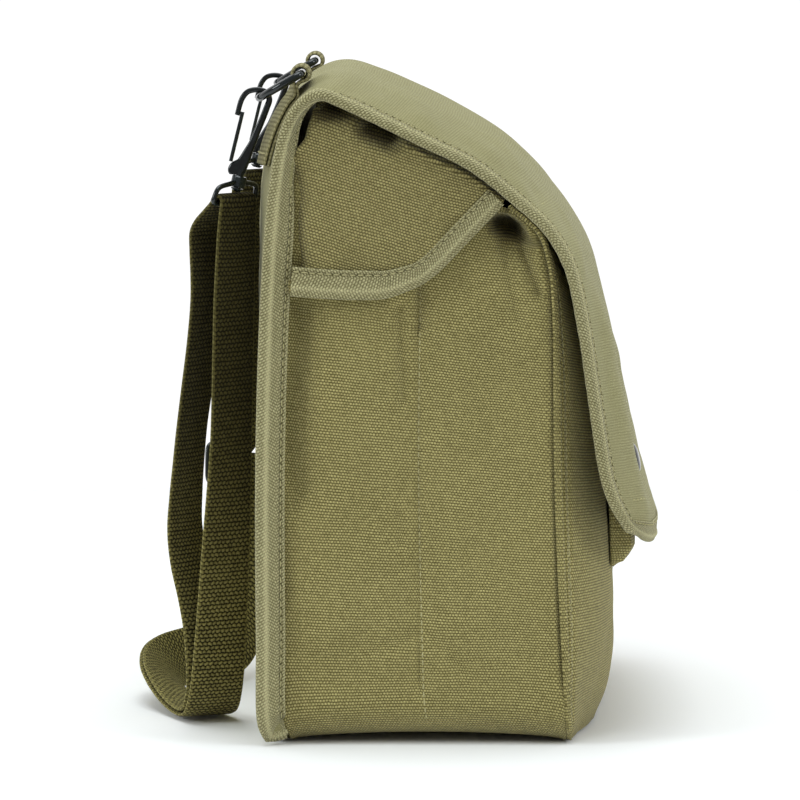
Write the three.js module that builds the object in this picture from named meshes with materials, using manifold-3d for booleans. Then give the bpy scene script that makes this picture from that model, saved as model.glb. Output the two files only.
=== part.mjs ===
// Canvas map case with a shoulder strap: standing on its base, filled, its flap closed.
// Millimetres, +Z up, front towards -Y. The origin is on the floor under the middle of the bag.
import * as THREE from 'three';
import { mergeVertices } from 'three/addons/utils/BufferGeometryUtils.js';
import Module from 'manifold-3d';

const wasm = await Module();
wasm.setup();

// Driving dimensions
const FLAP_HALF = 145; // half of the flap's width
const WALL_X = 139; // middle of the side walls' cloth
const BASE_CORNER = 15; // radius where the side walls turn into the base
const CANVAS = 2; // canvas wall
const POCKET_CANVAS = 1.6; // the pocket's lighter wall
const TAPE = 0.9; // binding tape
const TAPE_GAP = 0.7; // room between the tape and the edge that it binds
const GAP = 0.3; // room between pieces that are sewn together
const FIN_WIDTH = 7.4; // bound edge that stands out along the back seam
const FIN_LEAN = 0.4; // how far that edge leans sideways, as a share of its width
const FIN_FADE = [0.46, 0.56]; // where along the panel the standing edge becomes the hanging flap edge
const WEBBING_WIDTH = 25;
const WEBBING = 1.8; // thickness of the strap's webbing
const TAB_X = 110; // the strap's two fixing points are this far from the middle
const TAB_WIDTH = 24;
const TAB_THICKNESS = 3.8; // two layers of webbing
const TAB_LOOP = { y: 49.2, z: 274.7, outer: 4.7, hole: 2.1 };
const RING_WIRE = 1.6; // radius of the D-ring's wire
const RING_HALF = 14.6; // half of the D-ring's width, to the middle of the wire
const RING_APEX = { y: 66.6, z: 264.6 };
const RING_LEG = 6; // straight part of the D-ring beside its bar
const HOOK_THICKNESS = 2.8;
const PIVOT = { y: 78.4, z: 238.6 }; // the gate's foot
const GATE_TOP = { y: 73.4, z: 258.9 };
const GATE = { thickness: 1.2, width: 4.4 };
const BOSS = { y: 75.2, z: 230.1, radius: 3.1, hole: 1.9, height: 4.8 };
const STEM_RADIUS = 1.6;
const EYE = { halfBar: 14.2, wire: 1.05, drop: 8 }; // eye bar below the middle of the boss
const EYE_TURN = 56.5; // plan angle of the eye bar, in degrees from -Y towards +X
const SNAP = { x: 85, z: 113, radius: 6.3, rise: 2.2, seat: 0.9 }; // closure snaps on the flap
const POCKET = { half: 98, bottom: 69, top: 150, wall: 2.5, deep: 7.5, shallow: 2.2 };
const SLIDE = { halfLength: 16, bar: 1.7, pitch: 9.6, slotHalf: 13.3 };

const CLOTH = { roughness: 0.95, metalness: 0 };
const canvas = new THREE.MeshStandardMaterial({ color: 0x8a8159, ...CLOTH });
const tape = new THREE.MeshStandardMaterial({ color: 0xa09776, ...CLOTH });
const webbing = new THREE.MeshStandardMaterial({ color: 0x645c38, ...CLOTH });
const blackMetal = new THREE.MeshStandardMaterial({ color: 0x23282b, roughness: 0.35, metalness: 0.9 });

// Back panel and flap: one sheet, from its hem over the crown to the flap's lip.
// Profile at the middle of its width.
const PANEL_MIDDLE = [
  { at: 'hem', y: 62.9, z: 2.8 },
  { at: 'foot', y: 63, z: 13 },
  { at: 'low', y: 65, z: 45 },
  { at: 'waist', y: 66.3, z: 120 },
  { at: 'high', y: 66.4, z: 205 },
  { at: 'shoulder', y: 65, z: 236 },
  { at: 'nape', y: 58.2, z: 256.6 },
  { at: 'crown back', y: 47.5, z: 270.2 },
  { at: 'crown', y: 33, z: 275.2 },
  { at: 'top', y: 1, z: 264.6 },
  { at: 'slope', y: -35, z: 244.3 },
  { at: 'brow', y: -55.6, z: 222.4 },
  { at: 'face', y: -71, z: 199.2 },
  { at: 'cheek', y: -77.5, z: 177 },
  { at: 'chest', y: -85.5, z: 142 },
  { at: 'belly', y: -92.5, z: 111 },
  { at: 'low lip', y: -99.2, z: 85.5 },
  { at: 'lip', y: -97.8, z: 77.5 },
];
// Profile along its bound edge. x shrinks where the corners are rounded.
const PANEL_EDGE = [
  { at: 'hem', x: 138, y: 63.2, z: 2.8 },
  { at: 'hem corner', x: 143, y: 65.2, z: 9.5 },
  { at: 'low', x: 144, y: 65.6, z: 45 },
  { at: 'waist', x: 144, y: 65.6, z: 120 },
  { at: 'high', x: 144, y: 63.2, z: 190 },
  { at: 'shoulder', x: 144, y: 59.8, z: 231 },
  { at: 'nape', x: 144, y: 55.6, z: 251.5 },
  { at: 'crown back', x: 144, y: 49.5, z: 262.5 },
  { at: 'crown', x: 144, y: 41, z: 267 },
  { at: 'crown front', x: 144, y: 31, z: 263 },
  { at: 'top', x: FLAP_HALF, y: 0, z: 248 },
  { at: 'slope', x: FLAP_HALF, y: -20.5, z: 238 },
  { at: 'brow', x: FLAP_HALF, y: -37, z: 225.5 },
  { at: 'temple', x: FLAP_HALF, y: -51, z: 213 },
  { at: 'face', x: FLAP_HALF, y: -60, z: 198 },
  { at: 'cheek', x: FLAP_HALF, y: -65.6, z: 174 },
  { at: 'chest', x: FLAP_HALF, y: -70.3, z: 141.5 },
  { at: 'belly', x: FLAP_HALF, y: -74.7, z: 113 },
  { at: 'corner', x: 143.5, y: -77.6, z: 103 },
  { at: 'low corner', x: 140, y: -81.3, z: 95 },
  { at: 'lip', x: 133, y: -85.5, z: 88.5 },
];
const PANEL_ROWS = [
  { from: 0, to: 0.42, steps: 14 },
  { from: 0.42, to: 0.6, steps: 15 },
  { from: 0.6, to: 1, steps: 17 },
];
const BACK_FULLNESS = 8; // a higher power keeps the back flat further towards its edges
const FLAP_FULLNESS = 4;
const FLAP_RIDGE = { x: 117, width: 12, height: 3, low: 95, high: 195 };
const SNAP_DIP = { width: 17, height: 22, depth: 2 };

// Front panel, from the base seam to the bag's mouth.
const FRONT_MIDDLE = [
  { at: 'base', y: -77, z: 1.4 },
  { at: 'low', y: -79.8, z: 14 },
  { at: 'belly', y: -80.3, z: 60 },
  { at: 'waist', y: -79.3, z: 100 },
  { at: 'chest', y: -76, z: 140 },
  { at: 'high', y: -68, z: 172 },
  { at: 'rim', y: -49, z: 212 },
];
const FRONT_SEAM = [
  { at: 'base', x: 130, y: -61, z: 1.4 },
  { at: 'corner', x: 137, y: -60.8, z: 7 },
  { at: 'low', x: WALL_X, y: -60, z: 18 },
  { at: 'waist', x: WALL_X, y: -55.9, z: 100 },
  { at: 'high', x: WALL_X, y: -54.4, z: 182 },
  { at: 'shoulder', x: WALL_X, y: -52.8, z: 197 },
  { at: 'bend', x: WALL_X, y: -48.4, z: 210.5 },
  { at: 'rim', x: WALL_X, y: -36.5, z: 221.5 },
];
const FRONT_FULLNESS = { base: 1.8, rim: 6 };

// Side wall: its top edge, the fold pushed in under the flap and the crease down the middle.
const WALL_TOP = { front: 219, back: 240 };
const WALL_SEAT = 2.2; // from the middle of the back panel's cloth to the wall's back edge
const BASE_LIFT = { height: 3.5, from: 60, to: 124 }; // the base arches up towards its sides
const BASE_SEAT = 3.6; // from the hem to the base's back edge, round the binding
const WALL_TUCK = 0.9; // how far the wall's back edge lies inside the binding
const WALL_FOLD = { y: -36, z: 211.5, radius: 9, depth: 7 };
const WALL_CREASE = { y: 1, width: 7, depth: 1.8 };

// Side ear: its lower edge. From its corner the front edge rises straight.
const EAR_X = 143.4;
const EAR_BOTTOM = [
  { at: 'back', y: 51.4, z: 186.5 },
  { at: 'middle', y: 27.9, z: 185 },
  { at: 'front', y: 13, z: 185.8 },
  { at: 'bend', y: 3.3, z: 189.6 },
  { at: 'corner', y: -4.1, z: 193.3 },
];
const EAR_TUCK = { backY: 42.8, frontY: -33, across: 0.86, under: 2.7, below: 5.4 };
const EAR_SHOULDER = { back: 137.6, front: 142.1, bulge: 4 };
const EAR_ACROSS = [0, 0.22, 0.45, 0.68, 0.88, 1];
const EAR_DOWN = [0, 0.2, 0.45, 0.7, 0.86, 1];

// Snap hook: the flat bar's middle line, from its foot up the spine and round the bow to the tip.
const HOOK_LINE = [
  { at: 'foot', y: 75.9, z: 233, width: 6 },
  { at: 'clamp', y: 75.7, z: 234.9, width: 7.8 },
  { at: 'clamp top', y: 73.4, z: 238, width: 5.2 },
  { at: 'neck', y: 71.3, z: 242.2, width: 4 },
  { at: 'spine', y: 69, z: 247.1, width: 2.9 },
  { at: 'spine top', y: 63.6, z: 260.3, width: 2.7 },
  { at: 'bow in', y: 62.4, z: 264.2, width: 2.5 },
  { at: 'bow rise', y: 63.9, z: 267.1, width: 2.3 },
  { at: 'bow top', y: 67.4, z: 268, width: 2.3 },
  { at: 'bow out', y: 71.2, z: 267.2, width: 2.3 },
  { at: 'bow fall', y: 73.6, z: 264.4, width: 2.3 },
  { at: 'tip', y: 75.7, z: 257.6, width: 2.1 },
];

// Strap: the middle line between its two layers, from the left snap round the floor to the right snap.
// turn is the plan angle of the webbing's width from -Y towards +X, bank raises its outer rim,
// run and back are how far the running layer and the returning layer lie from the middle line,
// and twist turns the returning layer further.
const STRAP_ROUTE = [
  { at: 'left eye', x: -110, y: 77.2, z: 222.3, turn: 56.5, bank: 0, run: 2.4, back: 2.4, twist: 0 },
  { at: 'left loop', x: -109.4, y: 77.4, z: 209, turn: 54, bank: 0, run: 1.6, back: 13, twist: 4 },
  { at: 'left high', x: -107.5, y: 78.2, z: 180, turn: 51, bank: 0, run: 1.2, back: 12, twist: 8 },
  { at: 'left middle', x: -103.5, y: 79.6, z: 125, turn: 50, bank: 0, run: 1.2, back: 18, twist: 13 },
  { at: 'left low', x: -97, y: 82, z: 80, turn: 41, bank: 0, run: 1.2, back: 20.3, twist: 17 },
  { at: 'left shin', x: -88, y: 84.8, z: 38, turn: 34, bank: 0, run: 1.2, back: 8, twist: 5 },
  { at: 'left ankle', x: -80, y: 87, z: 15, turn: 30, bank: 0, run: 1.2, back: 2, twist: 0 },
  { at: 'floor fold', x: -70, y: 90, z: 4.7, turn: 27, bank: 0, run: 1.2, back: 1.2, twist: 0 },
  { at: 'floor', x: -52, y: 97.5, z: 3.9, turn: 23, bank: 5, run: 1.2, back: 1.2, twist: 0 },
  { at: 'bulge', x: -18, y: 111, z: 9.9, turn: 14, bank: 34, run: 1.2, back: 1.2, twist: 0 },
  { at: 'bend', x: 13, y: 112, z: 13, turn: 0, bank: 57, run: 1.2, back: 1.2, twist: 0 },
  { at: 'edge', x: 37, y: 100, z: 14.2, turn: -8, bank: 72, run: 1.2, back: 1.2, twist: 0 },
  { at: 'turn up', x: 53, y: 86.5, z: 15.5, turn: -4, bank: 60, run: 1.2, back: 1.2, twist: 0 },
  { at: 'rise', x: 69, y: 82.5, z: 27, turn: 6, bank: 38, run: 1.2, back: 1.2, twist: 0 },
  { at: 'right low', x: 81, y: 84, z: 55, turn: 22, bank: 12, run: 1.2, back: 1.2, twist: 0 },
  { at: 'slide', x: 90, y: 85.8, z: 94.5, turn: 41, bank: 0, run: 0, back: 0, twist: 0 },
  { at: 'right middle', x: 96.5, y: 84, z: 132, turn: 45, bank: 0, run: 0, back: 0, twist: 0 },
  { at: 'right high', x: 105, y: 79.4, z: 182, turn: 52, bank: 0, run: 1.1, back: 1.1, twist: 0 },
  { at: 'right eye', x: 110, y: 77.2, z: 222.3, turn: 56.5, bank: 0, run: 2.4, back: 2.4, twist: 0 },
];
// How the running layer is woven through the slide, by height from its middle bar.
const SLIDE_WEAVE = [
  { height: -14.5, run: 1.9 },
  { height: -9.6, run: 2.2 },
  { height: -5, run: 3.6 },
  { height: 0, run: 4.5 },
  { height: 3.1, run: 3.3 },
  { height: 5.5, run: 0.5 },
  { height: 7.6, run: -1.6 },
  { height: 9.6, run: -2.2 },
  { height: 14.5, run: -1.6 },
];
const SLIDE_RETURN = [
  { height: 0, back: 2.4 },
  { height: -9.6, back: 2.2 },
  { height: -14.5, back: 1.9 },
];
const LOOP_STEPS = 4; // steps of the webbing's half turn over a bar

// Small helpers
const vec = (x, y, z) => new THREE.Vector3(x, y, z);
const mix = THREE.MathUtils.lerp;
const ease = THREE.MathUtils.smoothstep;
const radians = THREE.MathUtils.degToRad;
const bell = (distance, width) => Math.exp(-((distance / width) ** 2));
const offset = (point, direction, amount) => point.clone().addScaledVector(direction, amount);
const smoothLine = (points) => new THREE.CatmullRomCurve3(points, false, 'centripetal');
// The place between two ends up to which a test holds.
function bisect(low, high, holds) {
  const middle = (low + high) / 2;
  if (high - low < 1e-6) return middle;
  return holds(middle) ? bisect(middle, high, holds) : bisect(low, middle, holds);
}
const profile = (rows) => smoothLine(rows.map((row) => vec(row.x ?? 0, row.y, row.z)));

// A closed solid from shared points, with its faces turned outwards.
function solid(points, triangles) {
  let volume = 0;
  for (const [a, b, c] of triangles) volume += points[a].dot(points[b].clone().cross(points[c]));
  const geometry = new THREE.BufferGeometry();
  geometry.setAttribute(
    'position',
    new THREE.Float32BufferAttribute(points.flatMap((p) => [p.x, p.y, p.z]), 3),
  );
  geometry.setIndex(triangles.flatMap(([a, b, c]) => (volume > 0 ? [a, b, c] : [a, c, b])));
  return geometry;
}

function gridNormals(grid) {
  const lastRow = grid.length - 1;
  const lastColumn = grid[0].length - 1;
  return grid.map((row, r) =>
    row.map((_, c) => {
      const down = grid[Math.min(r + 1, lastRow)][c].clone().sub(grid[Math.max(r - 1, 0)][c]);
      const across = row[Math.min(c + 1, lastColumn)].clone().sub(row[Math.max(c - 1, 0)]);
      return across.cross(down).normalize();
    }),
  );
}

// Cloth: a grid of points on its middle surface, given a thickness.
function cloth(grid, thickness) {
  const normals = gridNormals(grid);
  const rows = grid.length;
  const columns = grid[0].length;
  const face = (side) =>
    grid.flatMap((row, r) => row.map((p, c) => offset(p, normals[r][c], (side * thickness) / 2)));
  const points = [...face(1), ...face(-1)];
  const front = (r, c) => r * columns + c;
  const back = (r, c) => rows * columns + r * columns + c;
  const triangles = [];
  const quad = (a, b, c, d) => triangles.push([a, b, c], [a, c, d]);
  for (let r = 0; r < rows - 1; r += 1) {
    for (let c = 0; c < columns - 1; c += 1) {
      const corners = [[r, c], [r + 1, c], [r + 1, c + 1], [r, c + 1]];
      // The other diagonal on the right half, so that both halves are alike.
      if (2 * c + 1 > columns - 1) corners.push(corners.shift());
      quad(...corners.map((place) => front(...place)));
      quad(...corners.map((place) => back(...place)).reverse());
    }
  }
  const border = [];
  for (let c = 0; c < columns - 1; c += 1) border.push([0, c]);
  for (let r = 0; r < rows - 1; r += 1) border.push([r, columns - 1]);
  for (let c = columns - 1; c > 0; c -= 1) border.push([rows - 1, c]);
  for (let r = rows - 1; r > 0; r -= 1) border.push([r, 0]);
  border.forEach((p, i) => {
    const q = border[(i + 1) % border.length];
    quad(front(...p), front(...q), back(...q), back(...p));
  });
  return solid(points, triangles);
}

// A solid through rings of points, either a closed loop or with flat ends.
function loft(rings, { closed = false, section = null } = {}) {
  const sides = rings[0].length;
  const triangles = [];
  const steps = closed ? rings.length : rings.length - 1;
  for (let i = 0; i < steps; i += 1) {
    const next = (i + 1) % rings.length;
    for (let j = 0; j < sides; j += 1) {
      const k = (j + 1) % sides;
      const [a, b, c, d] = [i * sides + j, i * sides + k, next * sides + k, next * sides + j];
      // The other diagonal on the right half, so that both halves are alike.
      if (rings[i][j].x + rings[next][j].x > 0) triangles.push([a, b, d], [b, c, d]);
      else triangles.push([a, b, c], [a, c, d]);
    }
  }
  if (!closed) {
    const last = (rings.length - 1) * sides;
    for (const [a, b, c] of endFaces(sides, section)) {
      triangles.push([c, b, a], [last + a, last + b, last + c]);
    }
  }
  return solid(rings.flat(), triangles);
}

// Triangles of a ring's end face, in the ring's own order. A section that isn't convex is given flat.
function endFaces(sides, section) {
  if (!section) return Array.from({ length: sides - 2 }, (_, i) => [0, i + 1, i + 2]);
  const flat = section.map(([x, y]) => new THREE.Vector2(x, y));
  const direction = Math.sign(THREE.ShapeUtils.area(flat));
  return THREE.ShapeUtils.triangulateShape(flat, []).map((face) => {
    const turn = Math.sign(THREE.ShapeUtils.area(face.map((i) => flat[i])));
    return turn === direction ? face : [...face].reverse();
  });
}

// A round wire along points. side is any direction across the wire's plane.
function wire(points, radius, side, { closed = false, sides = 6 } = {}) {
  const rings = points.map((p, i) => {
    const before = points[closed ? (i + points.length - 1) % points.length : Math.max(i - 1, 0)];
    const after = points[closed ? (i + 1) % points.length : Math.min(i + 1, points.length - 1)];
    const across = after.clone().sub(before).cross(side).normalize();
    return Array.from({ length: sides }, (_, j) => {
      const angle = (j / sides) * 2 * Math.PI;
      return offset(offset(p, across, radius * Math.cos(angle)), side, radius * Math.sin(angle));
    });
  });
  return loft(rings, { closed });
}

function toManifold(geometry) {
  const bare = new THREE.BufferGeometry();
  bare.setAttribute('position', geometry.getAttribute('position'));
  bare.setIndex(geometry.getIndex());
  const welded = mergeVertices(bare, 1e-4);
  const triVerts = Uint32Array.from(welded.index.array);
  const vertProperties = Float32Array.from(welded.getAttribute('position').array);
  return new wasm.Manifold(new wasm.Mesh({ numProp: 3, vertProperties, triVerts }));
}

function fuse(...geometries) {
  const [first, ...others] = geometries.map(toManifold);
  const mesh = others.reduce((whole, part) => whole.add(part), first).getMesh();
  const geometry = new THREE.BufferGeometry();
  geometry.setAttribute('position', new THREE.Float32BufferAttribute(mesh.vertProperties, 3));
  geometry.setIndex(Array.from(mesh.triVerts));
  return geometry;
}

// The same solid on the other side of the bag.
function mirrored(geometry) {
  const copy = geometry.index ? geometry.clone() : mergeVertices(geometry);
  copy.scale(-1, 1, 1);
  const index = Array.from(copy.getIndex().array);
  for (let i = 0; i < index.length; i += 3) [index[i], index[i + 1]] = [index[i + 1], index[i]];
  copy.setIndex(index);
  return copy;
}

const group = new THREE.Group();

function add(name, geometry, material) {
  const mesh = new THREE.Mesh(geometry, material);
  mesh.name = name;
  group.add(mesh);
}

function addPair(name, leftGeometry, material) {
  add(`${name}_left`, leftGeometry, material);
  add(`${name}_right`, mirrored(leftGeometry), material);
}

// Back panel and flap
const panelMiddle = profile(PANEL_MIDDLE);
const panelEdge = profile(PANEL_EDGE);
const FIN_ROOT = 1 - FIN_WIDTH / FLAP_HALF;

function flapRelief(x, z) {
  const { low, high } = FLAP_RIDGE;
  const window = ease(z, low - 15, low) * (1 - ease(z, high - 20, high));
  const ridge = FLAP_RIDGE.height * bell(x - FLAP_RIDGE.x, FLAP_RIDGE.width) * window;
  const dip = SNAP_DIP.depth * bell(x - SNAP.x, SNAP_DIP.width) * bell(z - SNAP.z, SNAP_DIP.height);
  return ridge - dip;
}

// A point of the sheet: u runs from the hem to the lip, t from -1 at the left edge to 1.
function panelPoint(u, t) {
  const a = Math.abs(t);
  const middle = panelMiddle.getPointAt(u);
  const edge = panelEdge.getPointAt(u);
  const slope = panelMiddle.getTangentAt(u);
  const outward = vec(0, slope.z, -slope.y);
  const hanging = middle.clone().lerp(edge, a ** FLAP_FULLNESS);
  hanging.x = a * edge.x;
  const onFlap = ease(u, FIN_FADE[1], FIN_FADE[1] + 0.1);
  hanging.addScaledVector(outward, flapRelief(hanging.x, hanging.z) * onFlap);
  const root = offset(edge, outward, -FIN_WIDTH * Math.sqrt(1 - FIN_LEAN ** 2));
  root.x -= FIN_WIDTH * FIN_LEAN;
  const standing = middle.clone();
  if (a <= FIN_ROOT) {
    standing.lerp(root, (a / FIN_ROOT) ** BACK_FULLNESS);
    standing.x = (root.x * a) / FIN_ROOT;
  } else {
    standing.copy(root).lerp(edge, (a - FIN_ROOT) / (1 - FIN_ROOT));
  }
  const point = standing.lerp(hanging, ease(u, ...FIN_FADE));
  point.x *= Math.sign(t);
  return point;
}

function panelNormal(u, t) {
  const step = 0.004;
  const along = panelPoint(u + step, t).sub(panelPoint(u - step, t));
  const across = panelPoint(u, t + step).sub(panelPoint(u, t - step));
  return along.cross(across).normalize();
}

const panelRows = PANEL_ROWS.flatMap(({ from, to, steps }) =>
  Array.from({ length: steps }, (_, i) => mix(from, to, i / steps)),
).concat(1);
const halfColumns = [1, FIN_ROOT, 0.83, 0.73, 0.635, 0.54, 0.28];
const panelColumns = [...halfColumns.map((t) => -t), 0, ...[...halfColumns].reverse()];
const panelGrid = panelRows.map((u) => panelColumns.map((t) => panelPoint(u, t)));
add('back_flap', cloth(panelGrid, CANVAS), canvas);

// Binding tape: a folded strip round the bound edge.
// Each station gives a point on the edge, the point a tape's width further in, and the normals there.
function tapeRings(stations) {
  const near = CANVAS / 2 + TAPE_GAP;
  const far = near + TAPE;
  return stations.map(({ edge, inner, edgeNormal, innerNormal, outward }) => {
    const at = (side, reach) => offset(offset(edge, edgeNormal, side), outward, reach);
    return [
      offset(inner, innerNormal, far),
      at(far, TAPE_GAP),
      at(far / 3, TAPE_GAP + TAPE),
      at(-far / 3, TAPE_GAP + TAPE),
      at(-far, TAPE_GAP),
      offset(inner, innerNormal, -far),
      offset(inner, innerNormal, -near),
      at(-near, TAPE_GAP),
      at(near, TAPE_GAP),
      offset(inner, innerNormal, near),
    ];
  });
}
const TAPE_SECTION = [
  [9, 3], [0, 3], [-1, 1], [-1, -1], [0, -3], [9, -3],
  [9, -2], [0, -2], [0, 2], [9, 2],
];

// Stations from a list of grid places on the edge, each with the grid place further in.
function tapeStations(grid, places) {
  const normals = gridNormals(grid);
  const at = (table, [r, c]) => table[r][c];
  return places.map(({ edge, inner }) => ({
    edge: at(grid, edge),
    inner: at(grid, inner),
    edgeNormal: at(normals, edge),
    innerNormal: at(normals, inner),
    outward: at(grid, edge).clone().sub(at(grid, inner)).normalize(),
  }));
}

function panelBorder() {
  const lastRow = panelGrid.length - 1;
  const lastColumn = panelColumns.length - 1;
  const inside = ([r, c]) => [
    Math.min(Math.max(r, 1), lastRow - 1),
    Math.min(Math.max(c, 1), lastColumn - 1),
  ];
  const border = [];
  for (let c = 0; c < lastColumn; c += 1) border.push([0, c]);
  for (let r = 0; r < lastRow; r += 1) border.push([r, lastColumn]);
  for (let c = lastColumn; c > 0; c -= 1) border.push([lastRow, c]);
  for (let r = lastRow; r > 0; r -= 1) border.push([r, 0]);
  return border.map((edge) => ({ edge, inner: inside(edge) }));
}
add('edge_binding', loft(tapeRings(tapeStations(panelGrid, panelBorder())), { closed: true }), tape);

// Front panel
const frontMiddle = profile(FRONT_MIDDLE);
const frontSeam = profile(FRONT_SEAM);

function frontPoint(u, t) {
  const power = mix(FRONT_FULLNESS.base, FRONT_FULLNESS.rim, ease(u, 0, 0.25));
  const seam = frontSeam.getPointAt(u);
  const point = frontMiddle.getPointAt(u).lerp(seam, Math.abs(t) ** power);
  point.x = t * seam.x;
  return point;
}

const FRONT_COLUMNS = [-1, -0.965, -0.9, -0.8, -0.55, 0, 0.55, 0.8, 0.9, 0.965, 1];
const FRONT_STEPS = 13;
const frontGrid = Array.from({ length: FRONT_STEPS + 1 }, (_, i) =>
  FRONT_COLUMNS.map((t) => frontPoint(i / FRONT_STEPS, t)),
);
add('front_panel', cloth(frontGrid, CANVAS), canvas);

// Gusset: one strip that makes the left wall, the base and the right wall.
const SEAM_STEP = CANVAS / 2 + GAP + 0.5; // from the middle of the front panel's cloth to the strip's edge

function finRootAt(z) {
  return panelPoint(bisect(0, 0.5, (u) => panelPoint(u, -FIN_ROOT).z < z), -FIN_ROOT);
}

function seamY(z) {
  return frontSeam.getPointAt(bisect(0, 1, (u) => frontSeam.getPointAt(u).z < z)).y;
}

// Half of the strip, from the top of the wall to the middle of the base.
function gussetHalf() {
  const centre = { x: WALL_X - BASE_CORNER, z: CANVAS / 2 + BASE_CORNER };
  const stations = [];
  const wallSteps = 12;
  for (let i = 0; i < wallSteps; i += 1) {
    const rise = 1 - i / wallSteps;
    const zFront = mix(centre.z, WALL_TOP.front, rise);
    stations.push({
      x: WALL_X,
      zFront,
      zBack: mix(centre.z, WALL_TOP.back, rise),
      front: seamY(zFront) + SEAM_STEP + ease(zFront, 205, WALL_TOP.front),
      back: finRootAt(mix(centre.z, WALL_TOP.back, rise)).y - WALL_SEAT,
    });
  }
  const cornerSteps = 3;
  for (let i = 0; i <= cornerSteps; i += 1) {
    const angle = ((i / cornerSteps) * Math.PI) / 2;
    const z = centre.z - BASE_CORNER * Math.sin(angle);
    stations.push({
      x: centre.x + BASE_CORNER * Math.cos(angle),
      zFront: z,
      zBack: z,
      front: seamY(Math.max(z, FRONT_SEAM[0].z + 0.1)) + SEAM_STEP,
      back: finRootAt(z).y - mix(WALL_SEAT + 1, BASE_SEAT, i / cornerSteps),
    });
  }
  for (const t of FRONT_COLUMNS.filter((column) => column >= 0 && column <= 0.9).reverse()) {
    const x = t * FRONT_SEAM[0].x;
    const z = CANVAS / 2;
    const front = frontPoint(0, t).y + SEAM_STEP;
    const back = panelPoint(0, x / PANEL_EDGE[0].x).y - BASE_SEAT;
    stations.push({ x, zFront: z, zBack: z, front, back });
  }
  return stations;
}

const GUSSET_ACROSS = [0, 0.06, 0.14, 0.24, 0.4, 0.53, 0.6, 0.67, 0.85, 1];

function gussetRow(station, side) {
  return GUSSET_ACROSS.map((share) => {
    const y = mix(station.front, station.back, share);
    const flat = mix(station.zFront, station.zBack, share);
    const arch = BASE_LIFT.height * Math.sqrt(Math.max(Math.sin(Math.PI * share), 0));
    const sideways = ease(station.x, BASE_LIFT.from, BASE_LIFT.to) * (1 - ease(flat, 8, 40));
    const z = flat + arch * sideways;
    const upright = ease(z, BASE_CORNER, 2 * BASE_CORNER);
    const away = Math.hypot(y - WALL_FOLD.y, z - WALL_FOLD.z);
    const fold = WALL_FOLD.depth * bell(away, WALL_FOLD.radius) * Math.min(share / 0.06, 1);
    const crease = WALL_CREASE.depth * bell(y - WALL_CREASE.y, WALL_CREASE.width);
    const tuck = WALL_TUCK * ease(share, 0.8, 1);
    return vec(side * (station.x - upright * (fold + crease) - tuck), y, z);
  });
}

const gussetLeft = gussetHalf().map((station) => gussetRow(station, -1));
const gussetRight = gussetHalf().map((station) => gussetRow(station, 1)).reverse().slice(1);
add('gusset', cloth([...gussetLeft, ...gussetRight], CANVAS), canvas);

// Front pocket: a shallow tray of cloth on the front panel, open at its top.
function frontAt(x, z) {
  const t = x / WALL_X;
  return frontPoint(bisect(0, 1, (u) => frontPoint(u, t).z < z), t);
}

function pocketGrid() {
  const { half, bottom, top, wall, deep, shallow } = POCKET;
  const seat = CANVAS / 2 + GAP + POCKET_CANVAS / 2;
  const across = [-1, -0.98, -0.8, -0.45, 0, 0.45, 0.8, 0.98, 1];
  const rise = [0, wall, 14, 32, 50, 66, top - bottom];
  return rise.map((h, r) =>
    across.map((share, c) => {
      const outer = c === 0 || c === across.length - 1 || r === 0;
      const point = frontAt(share * half, bottom + h);
      const depth = mix(deep, shallow, ease(h, wall, top - bottom));
      point.y -= outer ? seat : seat + depth;
      return point;
    }),
  );
}
add('front_pocket', cloth(pocketGrid(), POCKET_CANVAS), canvas);

// Side ears and their binding
const earBottom = profile(EAR_BOTTOM);
const earReach = [EAR_TUCK.backY, EAR_TUCK.frontY].map((y) =>
  bisect(0.45, 0.9, (u) => panelEdge.getPointAt(u).y > y),
);

function earPoint(across, down) {
  const u = mix(...earReach, across);
  if (down === 0) {
    const t = -EAR_TUCK.across;
    return offset(panelPoint(u, t), panelNormal(u, t), -EAR_TUCK.under);
  }
  const flapEdge = panelPoint(u, -1);
  const first = EAR_DOWN[1];
  const share = (down - first) / (1 - first);
  const shoulder = mix(EAR_SHOULDER.back, EAR_SHOULDER.front, Math.sqrt(across));
  const top = vec(-shoulder, flapEdge.y, flapEdge.z - EAR_TUCK.below);
  const point = top.lerp(earBottom.getPointAt(across), share);
  point.y += EAR_SHOULDER.bulge * Math.sin(Math.PI * share) * (1 - across);
  point.x = -mix(shoulder, EAR_X, ease(share, 0, 0.4));
  return point;
}

const earGrid = EAR_DOWN.map((down) => EAR_ACROSS.map((across) => earPoint(across, down)));
addPair('ear', cloth(earGrid, CANVAS), canvas);

function earBorder() {
  const lastRow = EAR_DOWN.length - 1;
  const lastColumn = EAR_ACROSS.length - 1;
  const places = [];
  for (let c = 0; c < lastColumn; c += 1) places.push({ edge: [lastRow, c], inner: [lastRow - 1, c] });
  places.push({ edge: [lastRow, lastColumn], inner: [lastRow - 1, lastColumn - 1] });
  for (let r = lastRow - 1; r > 0; r -= 1) {
    places.push({ edge: [r, lastColumn], inner: [r, lastColumn - 1] });
  }
  return places;
}
const earTape = loft(tapeRings(tapeStations(earGrid, earBorder())), { section: TAPE_SECTION });
addPair('ear_binding', earTape, tape);

// Closure snaps: a domed cap on the flap and the plain stud behind it.
function flapAt(x, z) {
  const t = (u) => x / panelEdge.getPointAt(u).x;
  const u = bisect(FIN_FADE[1], 1, (place) => panelPoint(place, t(place)).z > z);
  return { point: panelPoint(u, t(u)), normal: panelNormal(u, t(u)) };
}

function placedAlong(geometry, point, direction) {
  const turn = new THREE.Quaternion().setFromUnitVectors(vec(0, 1, 0), direction);
  return geometry.applyQuaternion(turn).translate(point.x, point.y, point.z);
}

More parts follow.
